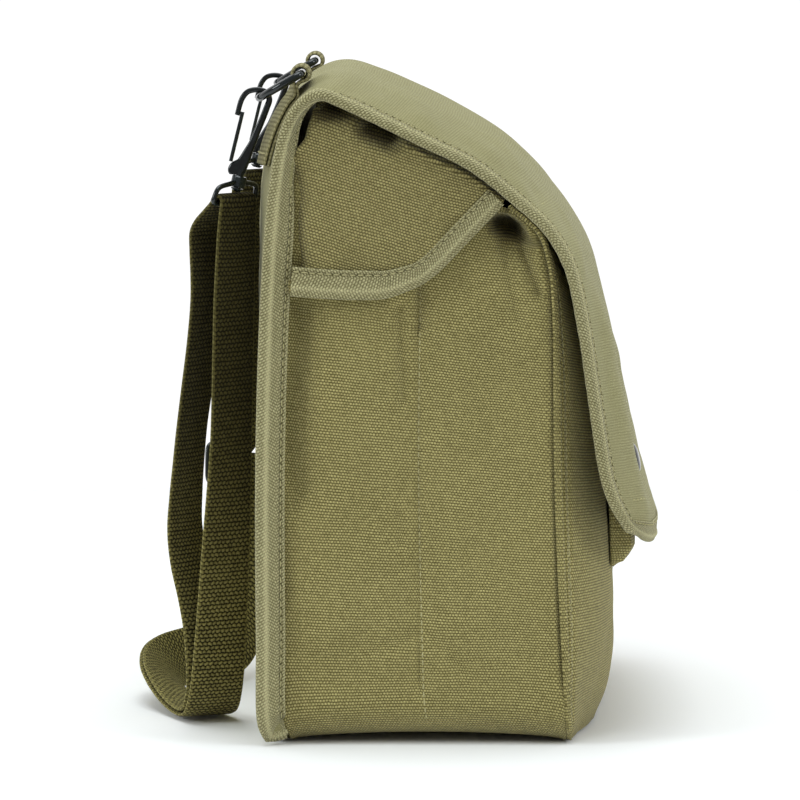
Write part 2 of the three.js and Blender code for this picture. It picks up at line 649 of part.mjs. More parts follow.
function snapCap() {
  const { point, normal } = flapAt(-SNAP.x, SNAP.z);
  const { radius, rise } = SNAP;
  const outline = [
    [0, 0],
    [radius - 0.4, 0],
    [radius, 0.5],
    [radius * 0.8, rise * 0.8],
    [radius * 0.4, rise],
    [0, rise],
  ];
  const dome = new THREE.LatheGeometry(outline.map(([x, y]) => new THREE.Vector2(x, y)), 14);
  return placedAlong(dome, offset(point, normal, CANVAS / 2 + SNAP.seat), normal);
}
addPair('snap_cap', snapCap(), blackMetal);

function snapStud() {
  const { point, normal } = flapAt(-SNAP.x, SNAP.z);
  const panel = frontAt(-SNAP.x, SNAP.z);
  const rise = ease(SNAP.z - POCKET.bottom, POCKET.wall, POCKET.top - POCKET.bottom);
  const grown = mix(POCKET.deep, POCKET.shallow, rise);
  const pocketFace = panel.y - (CANVAS / 2 + GAP + POCKET_CANVAS + 0.2) - grown;
  const inside = offset(point, normal, -(CANVAS / 2 + SNAP.seat));
  const length = pocketFace - inside.y - SNAP.seat;
  const barrel = new THREE.CylinderGeometry(4.2, 4.2, length, 10);
  return placedAlong(barrel, offset(inside, normal, -length / 2), normal);
}
addPair('snap_stud', snapStud(), blackMetal);

// D-ring tabs: webbing sewn to the back panel and looped round the ring's bar.
function panelAtHeight(x, z) {
  const t = (u) => (FIN_ROOT * x) / (panelEdge.getPointAt(u).x - FIN_WIDTH * FIN_LEAN);
  const u = bisect(0, 0.5, (place) => panelPoint(place, t(place)).z < z);
  return { point: panelPoint(u, t(u)), normal: panelNormal(u, t(u)) };
}

const TAB_FREE = [
  { at: 'leaves the panel', y: 61.8, z: 254.6 },
  { at: 'lean', y: 58, z: 262.4 },
  { at: 'loop', y: 51.6, z: 271.8 },
];

function ringTab() {
  const across = [-TAB_WIDTH / 2, 0, TAB_WIDTH / 2];
  const sewn = [236, 241, 246].map((z) =>
    across.map((dx) => {
      const { point, normal } = panelAtHeight(-TAB_X + dx, z);
      return offset(point, normal, CANVAS / 2 + GAP + TAB_THICKNESS / 2);
    }),
  );
  const free = TAB_FREE.map(({ y, z }) => across.map((dx) => vec(-TAB_X + dx, y, z)));
  const round = new THREE.Shape().absarc(0, 0, TAB_LOOP.outer, 0, 2 * Math.PI);
  round.holes.push(new THREE.Path().absarc(0, 0, TAB_LOOP.hole, 0, 2 * Math.PI));
  const loopShape = { depth: TAB_WIDTH, bevelEnabled: false, curveSegments: 8 };
  const loop = new THREE.ExtrudeGeometry(round, loopShape);
  loop.rotateY(Math.PI / 2).rotateX(Math.PI / 2);
  loop.translate(-TAB_X - TAB_WIDTH / 2, TAB_LOOP.y, TAB_LOOP.z);
  return fuse(cloth([...sewn, ...free], TAB_THICKNESS), loop);
}
addPair('d_ring_tab', ringTab(), webbing);

// D-rings
function dRing() {
  const bar = vec(-TAB_X, TAB_LOOP.y, TAB_LOOP.z);
  const reach = vec(0, RING_APEX.y - TAB_LOOP.y, RING_APEX.z - TAB_LOOP.z);
  const depth = reach.length();
  const along = reach.normalize();
  const at = (p, q) => offset(bar, along, q).add(vec(p, 0, 0));
  const arcSteps = 12;
  const corner = 2.2;
  const points = [at(-RING_HALF + corner, 0), at(0, 0), at(RING_HALF - corner, 0), at(RING_HALF, corner)];
  for (let i = 0; i <= arcSteps; i += 1) {
    const angle = (i / arcSteps) * Math.PI;
    points.push(at(RING_HALF * Math.cos(angle), RING_LEG + (depth - RING_LEG) * Math.sin(angle)));
  }
  points.push(at(-RING_HALF, corner));
  return wire(points, RING_WIRE, vec(0, along.z, -along.y), { closed: true, sides: 8 });
}
addPair('d_ring', dRing(), blackMetal);

// Snap hooks: a flat hook that turns on its stem in the boss of the strap's eye
const swivelDown = vec(0, BOSS.y - RING_APEX.y, BOSS.z - RING_APEX.z).normalize();
const bossCentre = vec(-TAB_X, BOSS.y, BOSS.z);

function hookBody() {
  const line = profile(HOOK_LINE);
  const widths = smoothLine(HOOK_LINE.map((row) => vec(row.width, 0, 0)));
  const steps = 3 * (HOOK_LINE.length - 1);
  const rings = Array.from({ length: steps + 1 }, (_, i) => {
    const middle = line.getPoint(i / steps);
    const tangent = line.getTangent(i / steps);
    const side = vec(0, tangent.z, -tangent.y).multiplyScalar(widths.getPoint(i / steps).x / 2);
    return [[1, 1], [-1, 1], [-1, -1], [1, -1]].map(([a, b]) =>
      vec(-TAB_X + (b * HOOK_THICKNESS) / 2, middle.y + a * side.y, middle.z + a * side.z),
    );
  });
  return loft(rings);
}

function hookStem() {
  const above = BOSS.height / 2 + 2.4;
  const below = BOSS.height / 2 + GAP;
  const head = { radius: 2.5, height: 1.1 };
  const outline = [
    [0, -below - head.height], [head.radius * 0.7, -below - head.height], [head.radius, -below - 0.3],
    [head.radius, -below], [STEM_RADIUS, -below], [STEM_RADIUS, above], [0, above],
  ];
  const stem = new THREE.LatheGeometry(outline.map(([x, y]) => new THREE.Vector2(x, y)), 10);
  return placedAlong(stem, bossCentre, swivelDown.clone().negate());
}
addPair('snap_hook', fuse(hookBody(), hookStem()), blackMetal);

function hookGate() {
  const foot = vec(-TAB_X, PIVOT.y, PIVOT.z);
  const along = vec(0, GATE_TOP.y - PIVOT.y, GATE_TOP.z - PIVOT.z);
  const length = along.length();
  const leaf = new THREE.Shape();
  leaf.moveTo(-GATE.width / 2, 0).lineTo(GATE.width / 2, 0).lineTo(GATE.width / 2, length * 0.8);
  leaf.lineTo(GATE.width / 4, length).lineTo(-GATE.width / 4, length).lineTo(-GATE.width / 2, length * 0.8);
  const blade = new THREE.ExtrudeGeometry(leaf, { depth: GATE.thickness, bevelEnabled: false });
  blade.translate(0, 0, -GATE.thickness / 2);
  return placedAlong(blade, foot, along.normalize());
}
addPair('snap_gate', hookGate(), blackMetal);

// Eye of the strap: a boss round the hook's stem, with a wire bow down to the bar that the webbing wraps
const eyeBar = vec(Math.sin(radians(EYE_TURN)), -Math.cos(radians(EYE_TURN)), 0);

function snapEye(x) {
  const centre = vec(x, BOSS.y, BOSS.z);
  const { radius, hole, height } = BOSS;
  const end = height / 2;
  const outline = [[hole, -end], [radius, -end], [radius, end], [hole, end], [hole, -end]];
  const boss = new THREE.LatheGeometry(outline.map(([a, b]) => new THREE.Vector2(a, b)), 12);
  placedAlong(boss, centre, swivelDown.clone().negate());
  const at = (p, q) => offset(offset(centre, eyeBar, p), swivelDown, q);
  const { halfBar, drop } = EYE;
  const shoulder = hole + 0.55;
  const half = [
    [shoulder, 0],
    [radius + 2, 0.6],
    [halfBar - 1.3, drop * 0.28],
    [halfBar, drop * 0.6],
    [halfBar - 0.2, drop],
  ];
  const bow = [...half, ...half.map(([p, q]) => [-p, q]).reverse()];
  const across = eyeBar.clone().cross(swivelDown).normalize();
  return fuse(boss, wire(bow.map(([p, q]) => at(p, q)), EYE.wire, across));
}
add('snap_eye_left', snapEye(-TAB_X), blackMetal);
add('snap_eye_right', snapEye(TAB_X), blackMetal);

// Strap: one length of webbing, from the slide round the left eye,
// back through the slide and up to the right eye
const strapLine = smoothLine(STRAP_ROUTE.map((row) => vec(row.x, row.y, row.z)));
const strapAngles = smoothLine(STRAP_ROUTE.map((row) => vec(row.turn, row.bank, 0)));
const strapLayers = smoothLine(STRAP_ROUTE.map((row) => vec(row.run, row.back, row.twist)));
const routeSteps = STRAP_ROUTE.length - 1;
const slideRow = STRAP_ROUTE.findIndex((row) => row.at === 'slide');

// The webbing's frame at a place on the route, counted in rows of the table.
function strapFrame(row, layer = 'run') {
  const share = Math.min(Math.max(row / routeSteps, 0), 1);
  const middle = strapLine.getPoint(share);
  const along = strapLine.getTangent(share);
  const { x: run, y: back, z: twist } = strapLayers.getPoint(share);
  const { x: heading, y: bank } = strapAngles.getPoint(share);
  const turn = layer === 'back' ? heading + twist : heading;
  const flat = Math.cos(radians(bank));
  const width = vec(
    flat * Math.sin(radians(turn)),
    -flat * Math.cos(radians(turn)),
    -Math.sin(radians(bank)),
  );
  const inward = width.clone().cross(along).normalize();
  return { middle, along, width, inward, run, back };
}

const onLayer = (frame, amount) => ({
  point: offset(frame.middle, frame.inward, amount),
  width: frame.width,
});
const runningAt = (row) => {
  const frame = strapFrame(row);
  return onLayer(frame, -frame.run);
};
const returningAt = (row) => {
  const frame = strapFrame(row, 'back');
  return onLayer(frame, frame.back);
};

const rowsBetween = (from, to, stepsPerRow) => {
  const count = Math.round(Math.abs(to - from) * stepsPerRow);
  return Array.from({ length: count + 1 }, (_, i) => mix(from, to, i / count));
};

// Half a turn over a bar, from one layer's side to the other.
function overBar(frame, radius, up, fromSide) {
  return Array.from({ length: LOOP_STEPS - 1 }, (_, i) => {
    const angle = ((i + 1) / LOOP_STEPS) * Math.PI;
    const point = offset(frame.middle, frame.inward, fromSide * radius * Math.cos(angle));
    return { point: offset(point, up, radius * Math.sin(angle)), width: frame.width };
  });
}

function strapStations() {
  const slide = strapFrame(slideRow);
  const atSlide = (height, amount) => ({
    point: offset(offset(slide.middle, slide.along, height), slide.inward, amount),
    width: slide.width,
  });
  const wrap = SLIDE_RETURN[0].back;
  const leftEye = strapFrame(0);
  const rightEye = strapFrame(routeSteps);
  return [
    atSlide(-5.5, -wrap),
    atSlide(0, -wrap),
    ...overBar(slide, wrap, slide.along, -1),
    ...SLIDE_RETURN.map(({ height, back }) => atSlide(height, back)),
    ...rowsBetween(slideRow - 0.75, 0, 3).map(returningAt),
    ...overBar(leftEye, leftEye.back, leftEye.along.clone().negate(), 1),
    ...rowsBetween(0, slideRow - 0.75, 3).map(runningAt),
    ...SLIDE_WEAVE.map(({ height, run }) => atSlide(height, -run)),
    ...rowsBetween(slideRow + 0.75, routeSteps, 3).map(runningAt),
    ...overBar(rightEye, rightEye.run, rightEye.along, -1),
    ...rowsBetween(routeSteps, routeSteps - 1, 4).map(returningAt),
  ];
}

function strapGeometry() {
  const stations = strapStations();
  const rings = stations.map(({ point, width }, i) => {
    const before = stations[Math.max(i - 1, 0)].point;
    const after = stations[Math.min(i + 1, stations.length - 1)].point;
    const face = after.clone().sub(before).cross(width).normalize();
    return [[1, 1], [-1, 1], [-1, -1], [1, -1]].map(([a, b]) =>
      offset(offset(point, width, (a * WEBBING_WIDTH) / 2), face, (b * WEBBING) / 2),
    );
  });
  return loft(rings);
}
add('strap', strapGeometry(), webbing);

// Slide of the strap: a plate with two slots
function slideGeometry() {
  const { halfLength, bar, pitch, slotHalf } = SLIDE;
  const half = pitch + bar / 2;
  const cut = 2.5;
  const plate = new THREE.Shape();
  plate.moveTo(-halfLength + cut, -half).lineTo(halfLength - cut, -half).lineTo(halfLength, -half + cut);
  plate.lineTo(halfLength, half - cut).lineTo(halfLength - cut, half).lineTo(-halfLength + cut, half);
  plate.lineTo(-halfLength, half - cut).lineTo(-halfLength, -half + cut);
  for (const low of [-pitch + bar / 2, bar / 2]) {
    const high = low + pitch - bar;
    const slot = new THREE.Path();
    slot.moveTo(-slotHalf, low).lineTo(slotHalf, low).lineTo(slotHalf, high).lineTo(-slotHalf, high);
    plate.holes.push(slot);
  }
  const { middle, along, width, inward } = strapFrame(slideRow);
  const geometry = new THREE.ExtrudeGeometry(plate, { depth: bar, bevelEnabled: false });
  geometry.translate(0, 0, -bar / 2);
  const place = new THREE.Matrix4().makeBasis(width, along, inward).setPosition(middle);
  return geometry.applyMatrix4(place);
}
add('strap_slide', slideGeometry(), blackMetal);

export default group;
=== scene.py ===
import math

import bpy
import numpy as np
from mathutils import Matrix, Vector


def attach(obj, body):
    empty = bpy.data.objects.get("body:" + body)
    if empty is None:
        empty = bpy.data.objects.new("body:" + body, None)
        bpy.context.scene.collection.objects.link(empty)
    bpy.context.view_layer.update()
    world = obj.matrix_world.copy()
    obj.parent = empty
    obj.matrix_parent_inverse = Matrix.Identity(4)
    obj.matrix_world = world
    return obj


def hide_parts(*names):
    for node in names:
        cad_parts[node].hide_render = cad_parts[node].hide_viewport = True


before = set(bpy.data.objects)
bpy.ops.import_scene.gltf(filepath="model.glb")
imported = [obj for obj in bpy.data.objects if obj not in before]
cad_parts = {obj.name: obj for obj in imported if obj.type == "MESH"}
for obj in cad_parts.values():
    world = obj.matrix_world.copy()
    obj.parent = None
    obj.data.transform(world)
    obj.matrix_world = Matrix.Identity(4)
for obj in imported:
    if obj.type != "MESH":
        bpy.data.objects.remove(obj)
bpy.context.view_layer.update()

# Sizes are in millimetres, and a mesh is scaled to metres when it is made.
MM = 0.001
FLAP_HALF = 145
WALL_X = 139
BASE_CORNER = 15
CANVAS = 2
POCKET_CANVAS = 1.6
TAPE = 0.7
TAPE_GAP = 0.1
TAPE_RIDGE = 0.8
SEAM_GAP = 0.3
FIN_WIDTH = 7.4
FIN_LEAN = 0.4
FIN_FADE = (0.46, 0.56)
FIN_ROOT = 1 - FIN_WIDTH / FLAP_HALF
EAR_TAPE_WIDTHS = (10.6, 7.4)
EAR_TAPE_SHADE = 0.6
WEBBING_WIDTH = 25
WEBBING = 1.8
TAB_X = 110
TAB_WIDTH = 24
TAB_WEBBING = 1.6
TAB_LOOP = np.array([49.2, 274.7])
TAB_LOOP_RADIUS = 3.4
TAB_UNDER = (50.6, 270.6)
RING_WIRE = 1.6
RING_HALF = 14.6
RING_APEX = np.array([66.6, 264.6])
RING_LEG = 6
RING_CORNER = 2.2
HOOK_THICKNESS = 2.8
HOOK_SQUARE = 0.55
PIVOT = np.array([78.4, 238.6])
GATE_TOP = np.array([73.4, 258.9])
GATE_THICKNESS = 1.6
GATE_WIDTH = 4.4
BOSS = np.array([75.2, 230.1])
BOSS_RADIUS = 3.1
BOSS_HOLE = 1.9
BOSS_HEIGHT = 4.8
STEM_RADIUS = 1.6
EYE_HALF = 14.2
EYE_WIRE = 1.05
EYE_DROP = 8
EYE_TURN = math.radians(56.5)
SNAP_X = 85
SNAP_Z = 113
SNAP_RADIUS = 6.3
SNAP_RISE = 2.2
SNAP_SEAT = 0.9
POCKET_HALF = 98
POCKET_BOTTOM = 69
POCKET_TOP = 150
POCKET_WALL = 2.5
POCKET_DEEP = 7.5
POCKET_SHALLOW = 2.2
SLIDE_HALF = 15.2
SLIDE_WIRE = 0.95
SLIDE_PITCH = 9.4
SLIDE_SQUARE = 0.3

# Camera: where the photograph was taken from, for a square picture
AIM = np.array([-145, 8.2, 142.8])
CAMERA_DISTANCE = 2200
CAMERA_ELEVATION = math.radians(5)
CAMERA_YAW = math.radians(0.6)
CAMERA_LENS = 243

# Back panel and flap, one sheet from its hem to the flap's lip. Columns: y, z at the middle of its width.
PANEL_MIDDLE = [
    (62.9, 2.8), (63, 13), (65, 45), (66.3, 120), (66.4, 205), (65, 236), (58.2, 256.6), (47.5, 270.2),
    (33, 275.2), (1, 264.6), (-35, 244.3), (-55.6, 222.4), (-71, 199.2), (-77.5, 177), (-85.5, 142),
    (-92.5, 111), (-99.2, 85.5), (-97.8, 77.5),
]
# Columns: x, y, z along its bound edge.
PANEL_EDGE = [
    (138, 63.2, 2.8), (143, 65.2, 9.5), (144, 65.6, 45), (144, 65.6, 120), (144, 63.2, 190), (144, 59.8, 231),
    (144, 55.6, 251.5), (144, 49.5, 262.5), (144, 41, 267), (144, 31, 263), (FLAP_HALF, 0, 248),
    (FLAP_HALF, -20.5, 238), (FLAP_HALF, -37, 225.5), (FLAP_HALF, -51, 213), (FLAP_HALF, -60, 198),
    (FLAP_HALF, -65.6, 174), (FLAP_HALF, -70.3, 141.5), (FLAP_HALF, -74.7, 113), (143.5, -77.6, 103),
    (140, -81.3, 95), (133, -85.5, 88.5),
]
BACK_FULLNESS = 8
FLAP_FULLNESS = 4
FLAP_RIDGE = {"x": 117, "width": 12, "height": 3, "low": 95, "high": 195}
FLAP_CREST = {"x": 100, "width": 6, "height": 1.3}
# Soft creases on the flap. Columns: start and end as x, z, then width and depth.
FLAP_CREASES = [
    ((-134, 252), (-98, 264), 4.5, 1.5), ((-132, 228), (-92, 243), 5, 1.4),
    ((-130, 196), (-100, 216), 5, 1.2), ((132, 246), (96, 260), 5, 1.4), ((130, 208), (94, 226), 5.5, 1.2),
    ((-40, 236), (28, 230), 10, 0.8), ((60, 172), (112, 186), 8, 0.9), ((-84, 150), (-118, 168), 7, 0.9),
]
SNAP_DIP = {"width": 17, "height": 22, "depth": 2}

# Front panel. Columns: y, z at the middle, then x, y, z along its side seam.
FRONT_MIDDLE = [
    (-77, 1.4), (-79.8, 14), (-80.3, 60), (-79.3, 100), (-76, 140), (-68, 172), (-49, 212),
]
FRONT_SEAM = [
    (130, -61, 1.4), (137, -60.8, 7), (WALL_X, -60, 18), (WALL_X, -55.9, 100), (WALL_X, -54.4, 182),
    (WALL_X, -52.8, 197), (WALL_X, -48.4, 210.5), (WALL_X, -36.5, 221.5),
]
FRONT_FULLNESS = (1.8, 6)
FRONT_SEAM_INSET = 4.4
WELT = 2.3
# Relief beside the front's side seam. Columns: inset from the edge, width, height.
FRONT_SEWN = [(WELT, 0.55, 1.3), (FRONT_SEAM_INSET, 0.7, 0.6), (WELT / 2, 0.7, -0.5)]

# Side wall
WALL_TOP = {"front": 219, "back": 240}
BASE_LIFT = {"height": 3.5, "from": 60, "to": 124}
WALL_SEAT = 2.2
BASE_SEAT = 3.6
WALL_TUCK = 0.9
SEAM_TUCK = 1.7
WALL_FOLD = {"y": -36, "z": 211.5, "radius": 9, "depth": 5}
WALL_HOLLOW = {"y": -35.4, "z": 213.2, "long": 7.2, "short": 4.8, "tilt": 0.4, "depth": 22}
WALL_CREASE = {"y": 1, "width": 7, "depth": 1.8}
# Small creases in the wall. Columns: start and end as y, z, then width and depth.
WALL_CREASES = [
    ((-40, 208), (-48, 186), 2.4, 2.8), ((-33, 206), (-39, 176), 2.8, 2.0), ((1, 190), (0, 172), 2.2, 2.2),
    ((1, 172), (0, 20), 1.0, 0.9), ((-12, 196), (-30, 176), 6, 1.2), ((30, 150), (24, 95), 9, 1.0),
    ((-30, 120), (-22, 60), 10, 0.9), ((22, 40), (38, 14), 8, 1.0), ((-20, 30), (-40, 12), 8, 1.2),
    ((52, 180), (53, 108), 9, 4.6), ((9, 180), (7, 142), 2.4, 2), ((9, 96), (8, 84), 2.4, 1.4),
    ((18, 40), (4, 45), 3.4, 1.4), ((-7, 44), (-16, 33), 3.4, 1.3),
]

# Side ear. Columns: y, z along its lower edge.
EAR_X = 143.4
EAR_BOTTOM = [(51.4, 186.5), (27.9, 185), (13, 185.8), (3.3, 189.6), (-4.1, 193.3)]
EAR_TUCK = {"backY": 42.8, "frontY": -33, "across": 0.86, "under": 2.7, "below": 5.4}
EAR_SHOULDER = {"back": 137.6, "front": 142.1, "bulge": 4}
EAR_FIRST = 0.2
# How far its back edge keeps from the fin's root, how much further between two heights, and its dive inwards
EAR_CLEARANCE = 1.2
EAR_TOP_CLEARANCE = 7
EAR_TOP = (240, 256)
EAR_DIVE = 12

# Snap hook. Columns: y, z, width along the flat bar's middle line.
HOOK_LINE = [
    (75.9, 233, 6), (75.7, 234.9, 7.8), (73.4, 238, 5.2), (71.3, 242.2, 4), (69, 247.1, 2.9),
    (63.6, 260.3, 2.7), (62.4, 264.2, 2.5), (63.9, 267.1, 2.3), (67.4, 268, 2.3), (71.2, 267.2, 2.3),
    (73.6, 264.4, 2.3), (75.7, 257.6, 2.1),
]
# Heights at which the D-ring's tab lies on the panel
TAB_LAID = (236.5, 241, 246, 251, 256, 260.5, 264)

# Strap, the middle line between its two layers. Columns: x, y, z, turn, bank, run, back, twist.
STRAP_ROUTE = np.array([
    (-110, 77.2, 222.3, 56.5, 0, 2.4, 2.4, 0),
    (-109.4, 77.4, 209, 54, 0, 1.6, 13, 4),
    (-107.5, 78.2, 180, 51, 0, 1.2, 12, 8),
    (-103.5, 79.6, 125, 50, 0, 1.2, 18, 13),
    (-97, 82, 80, 41, 0, 1.2, 20.3, 17),
    (-88, 84.8, 38, 34, 0, 1.2, 8, 5),
    (-80, 87, 15, 30, 0, 1.2, 2, 0),
    (-70, 90, 4.7, 27, 0, 1.2, 1.2, 0),
    (-52, 97.5, 3.9, 23, 5, 1.2, 1.2, 0),
    (-18, 111, 9.9, 14, 34, 1.2, 1.2, 0),
    (13, 112, 13, 0, 57, 1.2, 1.2, 0),
    (37, 100, 14.2, -8, 72, 1.2, 1.2, 0),
    (53, 86.5, 15.5, -4, 60, 1.2, 1.2, 0),
    (69, 82.5, 27, 6, 38, 1.2, 1.2, 0),
    (81, 84, 55, 22, 12, 1.2, 1.2, 0),
    (90, 85.8, 94.5, 41, 0, 0, 0, 0),
    (96.5, 84, 132, 45, 0, 0, 0, 0),
    (105, 79.4, 182, 52, 0, 1.1, 1.1, 0),
    (110, 77.2, 222.3, 56.5, 0, 2.4, 2.4, 0),
])
# The route's row where the slide is, the rows on each side that it takes up, and the webbing's end past it
SLIDE_ROW = 15
SLIDE_REACH = 0.75
SLIDE_TAIL = 5.5
# How the running layer is woven through the slide. Columns: height from its middle bar, run.
SLIDE_WEAVE = [
    (-14.5, 1.9), (-9.6, 2.2), (-5, 3.6), (0, 4.5), (3.1, 3.3), (5.5, 0.5), (7.6, -1.6), (9.6, -2.2),
    (14.5, -1.6),
]
SLIDE_RETURN = [(0, 2.4), (-9.6, 2.2), (-14.5, 1.9)]


# Small helpers

def ease(x, low, high):
    share = np.clip((x - low) / (high - low), 0, 1)
    return share * share * (3 - 2 * share)


def bell(distance, width):
    return np.exp(-((distance / width) ** 2))


def mix(low, high, share):
    return low + (high - low) * share


def unit(vectors):
    return vectors / np.linalg.norm(vectors, axis=-1, keepdims=True)


def point(x, y, z):
    return np.stack(np.broadcast_arrays(x, y, z), -1).astype(float)


def lengths(path):
    """How far each point of a path lies along it."""
    return np.concatenate([[0], np.cumsum(np.linalg.norm(np.diff(path, axis=0), axis=1))])


def rounded_square(angle, power):
    """Across and up on a square with round corners. A lower power makes it squarer."""
    return [np.sign(f(angle)) * np.abs(f(angle)) ** power for f in (np.cos, np.sin)]


class Line:
    """A smooth line through points, sampled closely enough to read places from it."""

    STEPS = 40

    def __init__(self, points):
        p = np.asarray(points, float)
        ends = np.vstack([2 * p[0] - p[1], p, 2 * p[-1] - p[-2]])
        share = np.linspace(0, 1, self.STEPS, endpoint=False)[:, None]
        spans = [self.span(ends[i : i + 4], share) for i in range(len(p) - 1)]
        self.samples = np.vstack([*spans, p[-1:]])
        self.rows = np.arange(len(self.samples)) / self.STEPS
        self.reach = lengths(self.samples)
        self.length = self.reach[-1]
        self.headings = unit(np.gradient(self.samples, axis=0) + 1e-12)

    @staticmethod
    def span(four, share):
        a, b, c, d = four
        before, between, after = (np.sum((q - p) ** 2) ** 0.25 for p, q in ((a, b), (b, c), (c, d)))
        between = between if between > 1e-4 else 1.0
        before = before if before > 1e-4 else between
        after = after if after > 1e-4 else between
        start = ((b - a) / before - (c - a) / (before + between) + (c - b) / between) * between
        end = ((c - b) / between - (d - b) / (between + after) + (d - c) / after) * between
        bend = -3 * b + 3 * c - 2 * start - end
        turn = 2 * b - 2 * c + start + end
        return b + start * share + bend * share**2 + turn * share**3

    def read(self, table, place, scale):
        return np.stack([np.interp(place, scale, column) for column in table.T], -1)

    def at(self, share):
        return self.read(self.samples, np.asarray(share) * self.length, self.reach)

    def heading(self, share):
        return unit(self.read(self.headings, np.asarray(share) * self.length, self.reach))

    def by_row(self, row):
        return self.read(self.samples, np.asarray(row), self.rows)


def profile(rows):
    return Line([(0, *row) if len(row) == 2 else row for row in rows])


def waves(points, size, seed):
    """Soft unevenness in space, mostly between -1 and 1."""
    rng = np.random.default_rng(seed)
    total = 0
    for _ in range(7):
        direction = unit(rng.normal(size=3))
        length = size * rng.uniform(0.6, 1.5)
        total = total + np.sin(points @ direction * 2 * math.pi / length + rng.uniform(0, 6.28))
    return total / 3


def groove(y, z, start, end, width):
    """A soft line between two places on a wall, 1 along its middle."""
    start, reach = np.asarray(start, float), np.subtract(end, start)
    share = ((y - start[0]) * reach[0] + (z - start[1]) * reach[1]) / np.dot(reach, reach)
    held = np.clip(share, 0, 1)
    away = np.hypot(y - start[0] - held * reach[0], z - start[1] - held * reach[1])
    return bell(away, width)


def creases(y, z, table):
    """Depth of all the soft lines in a table with the columns start, end, width and depth."""
    return sum(depth * groove(y, z, start, end, width) for start, end, width, depth in table)


def sheet_normal(place, u, t, step=0.004):
    """Which way a sheet faces, from the function that gives its points."""
    along = place(u + step, t) - place(u - step, t)
    across = place(u, t + step) - place(u, t - step)
    return unit(np.cross(along, across))


def normals(grid):
    down = np.gradient(grid, axis=0)
    across = np.gradient(grid, axis=1)
    return unit(np.cross(across, down))


# Making meshes

def show(name, data):
    made = bpy.data.objects.new(name, data)
    bpy.context.scene.collection.objects.link(made)
    return made


def point_at(made, place, ahead):
    """Puts a camera or light at a place, looking ahead."""
    made.location = place
    made.rotation_mode = "QUATERNION"
    made.rotation_quaternion = Vector(ahead).to_track_quat("-Z", "Y")


def piece(name, vertices, faces, uv, material, body="bag", node=None, slot=None, sharp=38, shade=None):
    """A mesh object that rides on a body. uv has a row for each face's corner, shade one for each point."""
    mesh = bpy.data.meshes.new(name)
    mesh.from_pydata((np.asarray(vertices) * MM).tolist(), [], [list(map(int, f)) for f in faces])
    mesh.uv_layers.new(name="cloth").data.foreach_set("uv", (np.asarray(uv) * MM).astype(np.float32).ravel())
    if shade is not None:
        painted_light_marks = mesh.attributes.new("shade", "FLOAT", "POINT")
        painted_light_marks.data.foreach_set("value", np.asarray(shade, np.float32))
    mesh.polygons.foreach_set("use_smooth", [True] * len(mesh.polygons))
    mesh.set_sharp_from_angle(angle=math.radians(sharp))
    mesh.materials.append(material)
    made = show(name, mesh)
    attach(made, body)
    if node:
        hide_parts(node)
    return made


def skin(rings, uv, loop=False):
    """Vertices, faces and uv of a closed surface through rings. uv is one column wider than the rings."""
    count, sides, _ = rings.shape
    steps = count if loop else count - 1
    i, j = (a.ravel() for a in np.meshgrid(range(steps), range(sides), indexing="ij"))
    after, right = (i + 1) % count, (j + 1) % sides
    faces = np.stack([i * sides + j, i * sides + right, after * sides + right, after * sides + j], -1)
    corners = np.stack([uv[i, j], uv[i, j + 1], uv[i + 1, j + 1], uv[i + 1, j]], 1)
    if not loop:
        k = np.arange(sides // 2 - 1)
        first = np.stack([k + 1, k, sides - 1 - k, sides - 2 - k], -1)
        last = np.stack([k, k + 1, sides - 2 - k, sides - 1 - k], -1)
        faces = np.concatenate([faces, first, last + (count - 1) * sides])
        corners = np.concatenate([corners, uv[0][first], uv[-1][last]])
    vertices = rings.reshape(-1, 3)
    a, b, c, d = (vertices[faces[:, n]] for n in range(4))
    volume = np.sum(a * np.cross(b, c)) + np.sum(a * np.cross(c, d))
    if volume < 0:
        faces, corners = faces[:, ::-1], corners[:, ::-1]
    return vertices, faces, corners.reshape(-1, 2)


def flat_map(grid):
    """How far each point lies along the cloth, across from the middle column and down from the first row."""
    middle = grid.shape[1] // 2
    across = np.stack([lengths(row) for row in grid])
    across -= across[:, middle][:, None]
    down = lengths(grid[:, middle])
    return np.stack([across, np.broadcast_to(down[:, None], across.shape)], -1)


# A cloth's cut edge, as shares of its thickness: how far it bulges, its rise there, and the way round it
EDGE_BULGE = 0.36
EDGE_RISE = 0.55
EDGE_ROUND = 0.6


def cloth(name, grid, thickness, material, flat=None, **ride):
    """A sheet of cloth with both its faces and its edges."""
    flat = flat_map(grid) if flat is None else flat
    half = normals(grid) * thickness / 2
    first = grid[:, :1] - unit(grid[:, 1:2] - grid[:, :1]) * thickness * EDGE_BULGE
    last = grid[:, -1:] + unit(grid[:, -1:] - grid[:, -2:-1]) * thickness * EDGE_BULGE
    rise = [half[:, :1] * EDGE_RISE, half[:, -1:] * EDGE_RISE]
    front = [first + rise[0], grid + half, last + rise[1]]
    back = [last - rise[1], (grid - half)[:, ::-1], first - rise[0]]
    rings = np.concatenate(front + back, axis=1)
    round_edge = np.array([thickness * EDGE_ROUND, 0])
    wide = np.concatenate([flat[:, :1] - round_edge, flat, flat[:, -1:] + round_edge], axis=1)
    uv = np.concatenate([wide, wide[:, ::-1], wide[:, :1]], axis=1)
    return piece(name, *skin(rings, uv), material, **ride)


def tube_rings(path, radius, side, closed=False, sides=16):
    """Round rings along a path. side is the direction across the path's plane."""
    if closed:
        ahead = np.roll(path, -1, axis=0) - np.roll(path, 1, axis=0)
    else:
        ahead = np.gradient(path, axis=0)
    across = unit(np.cross(ahead, side))
    angle = np.linspace(0, 2 * math.pi, sides, endpoint=False)
    radius = np.broadcast_to(radius, len(path))[:, None, None]
    ring = across[:, None] * np.cos(angle)[None, :, None] + side * np.sin(angle)[None, :, None]
    return path[:, None] + ring * radius


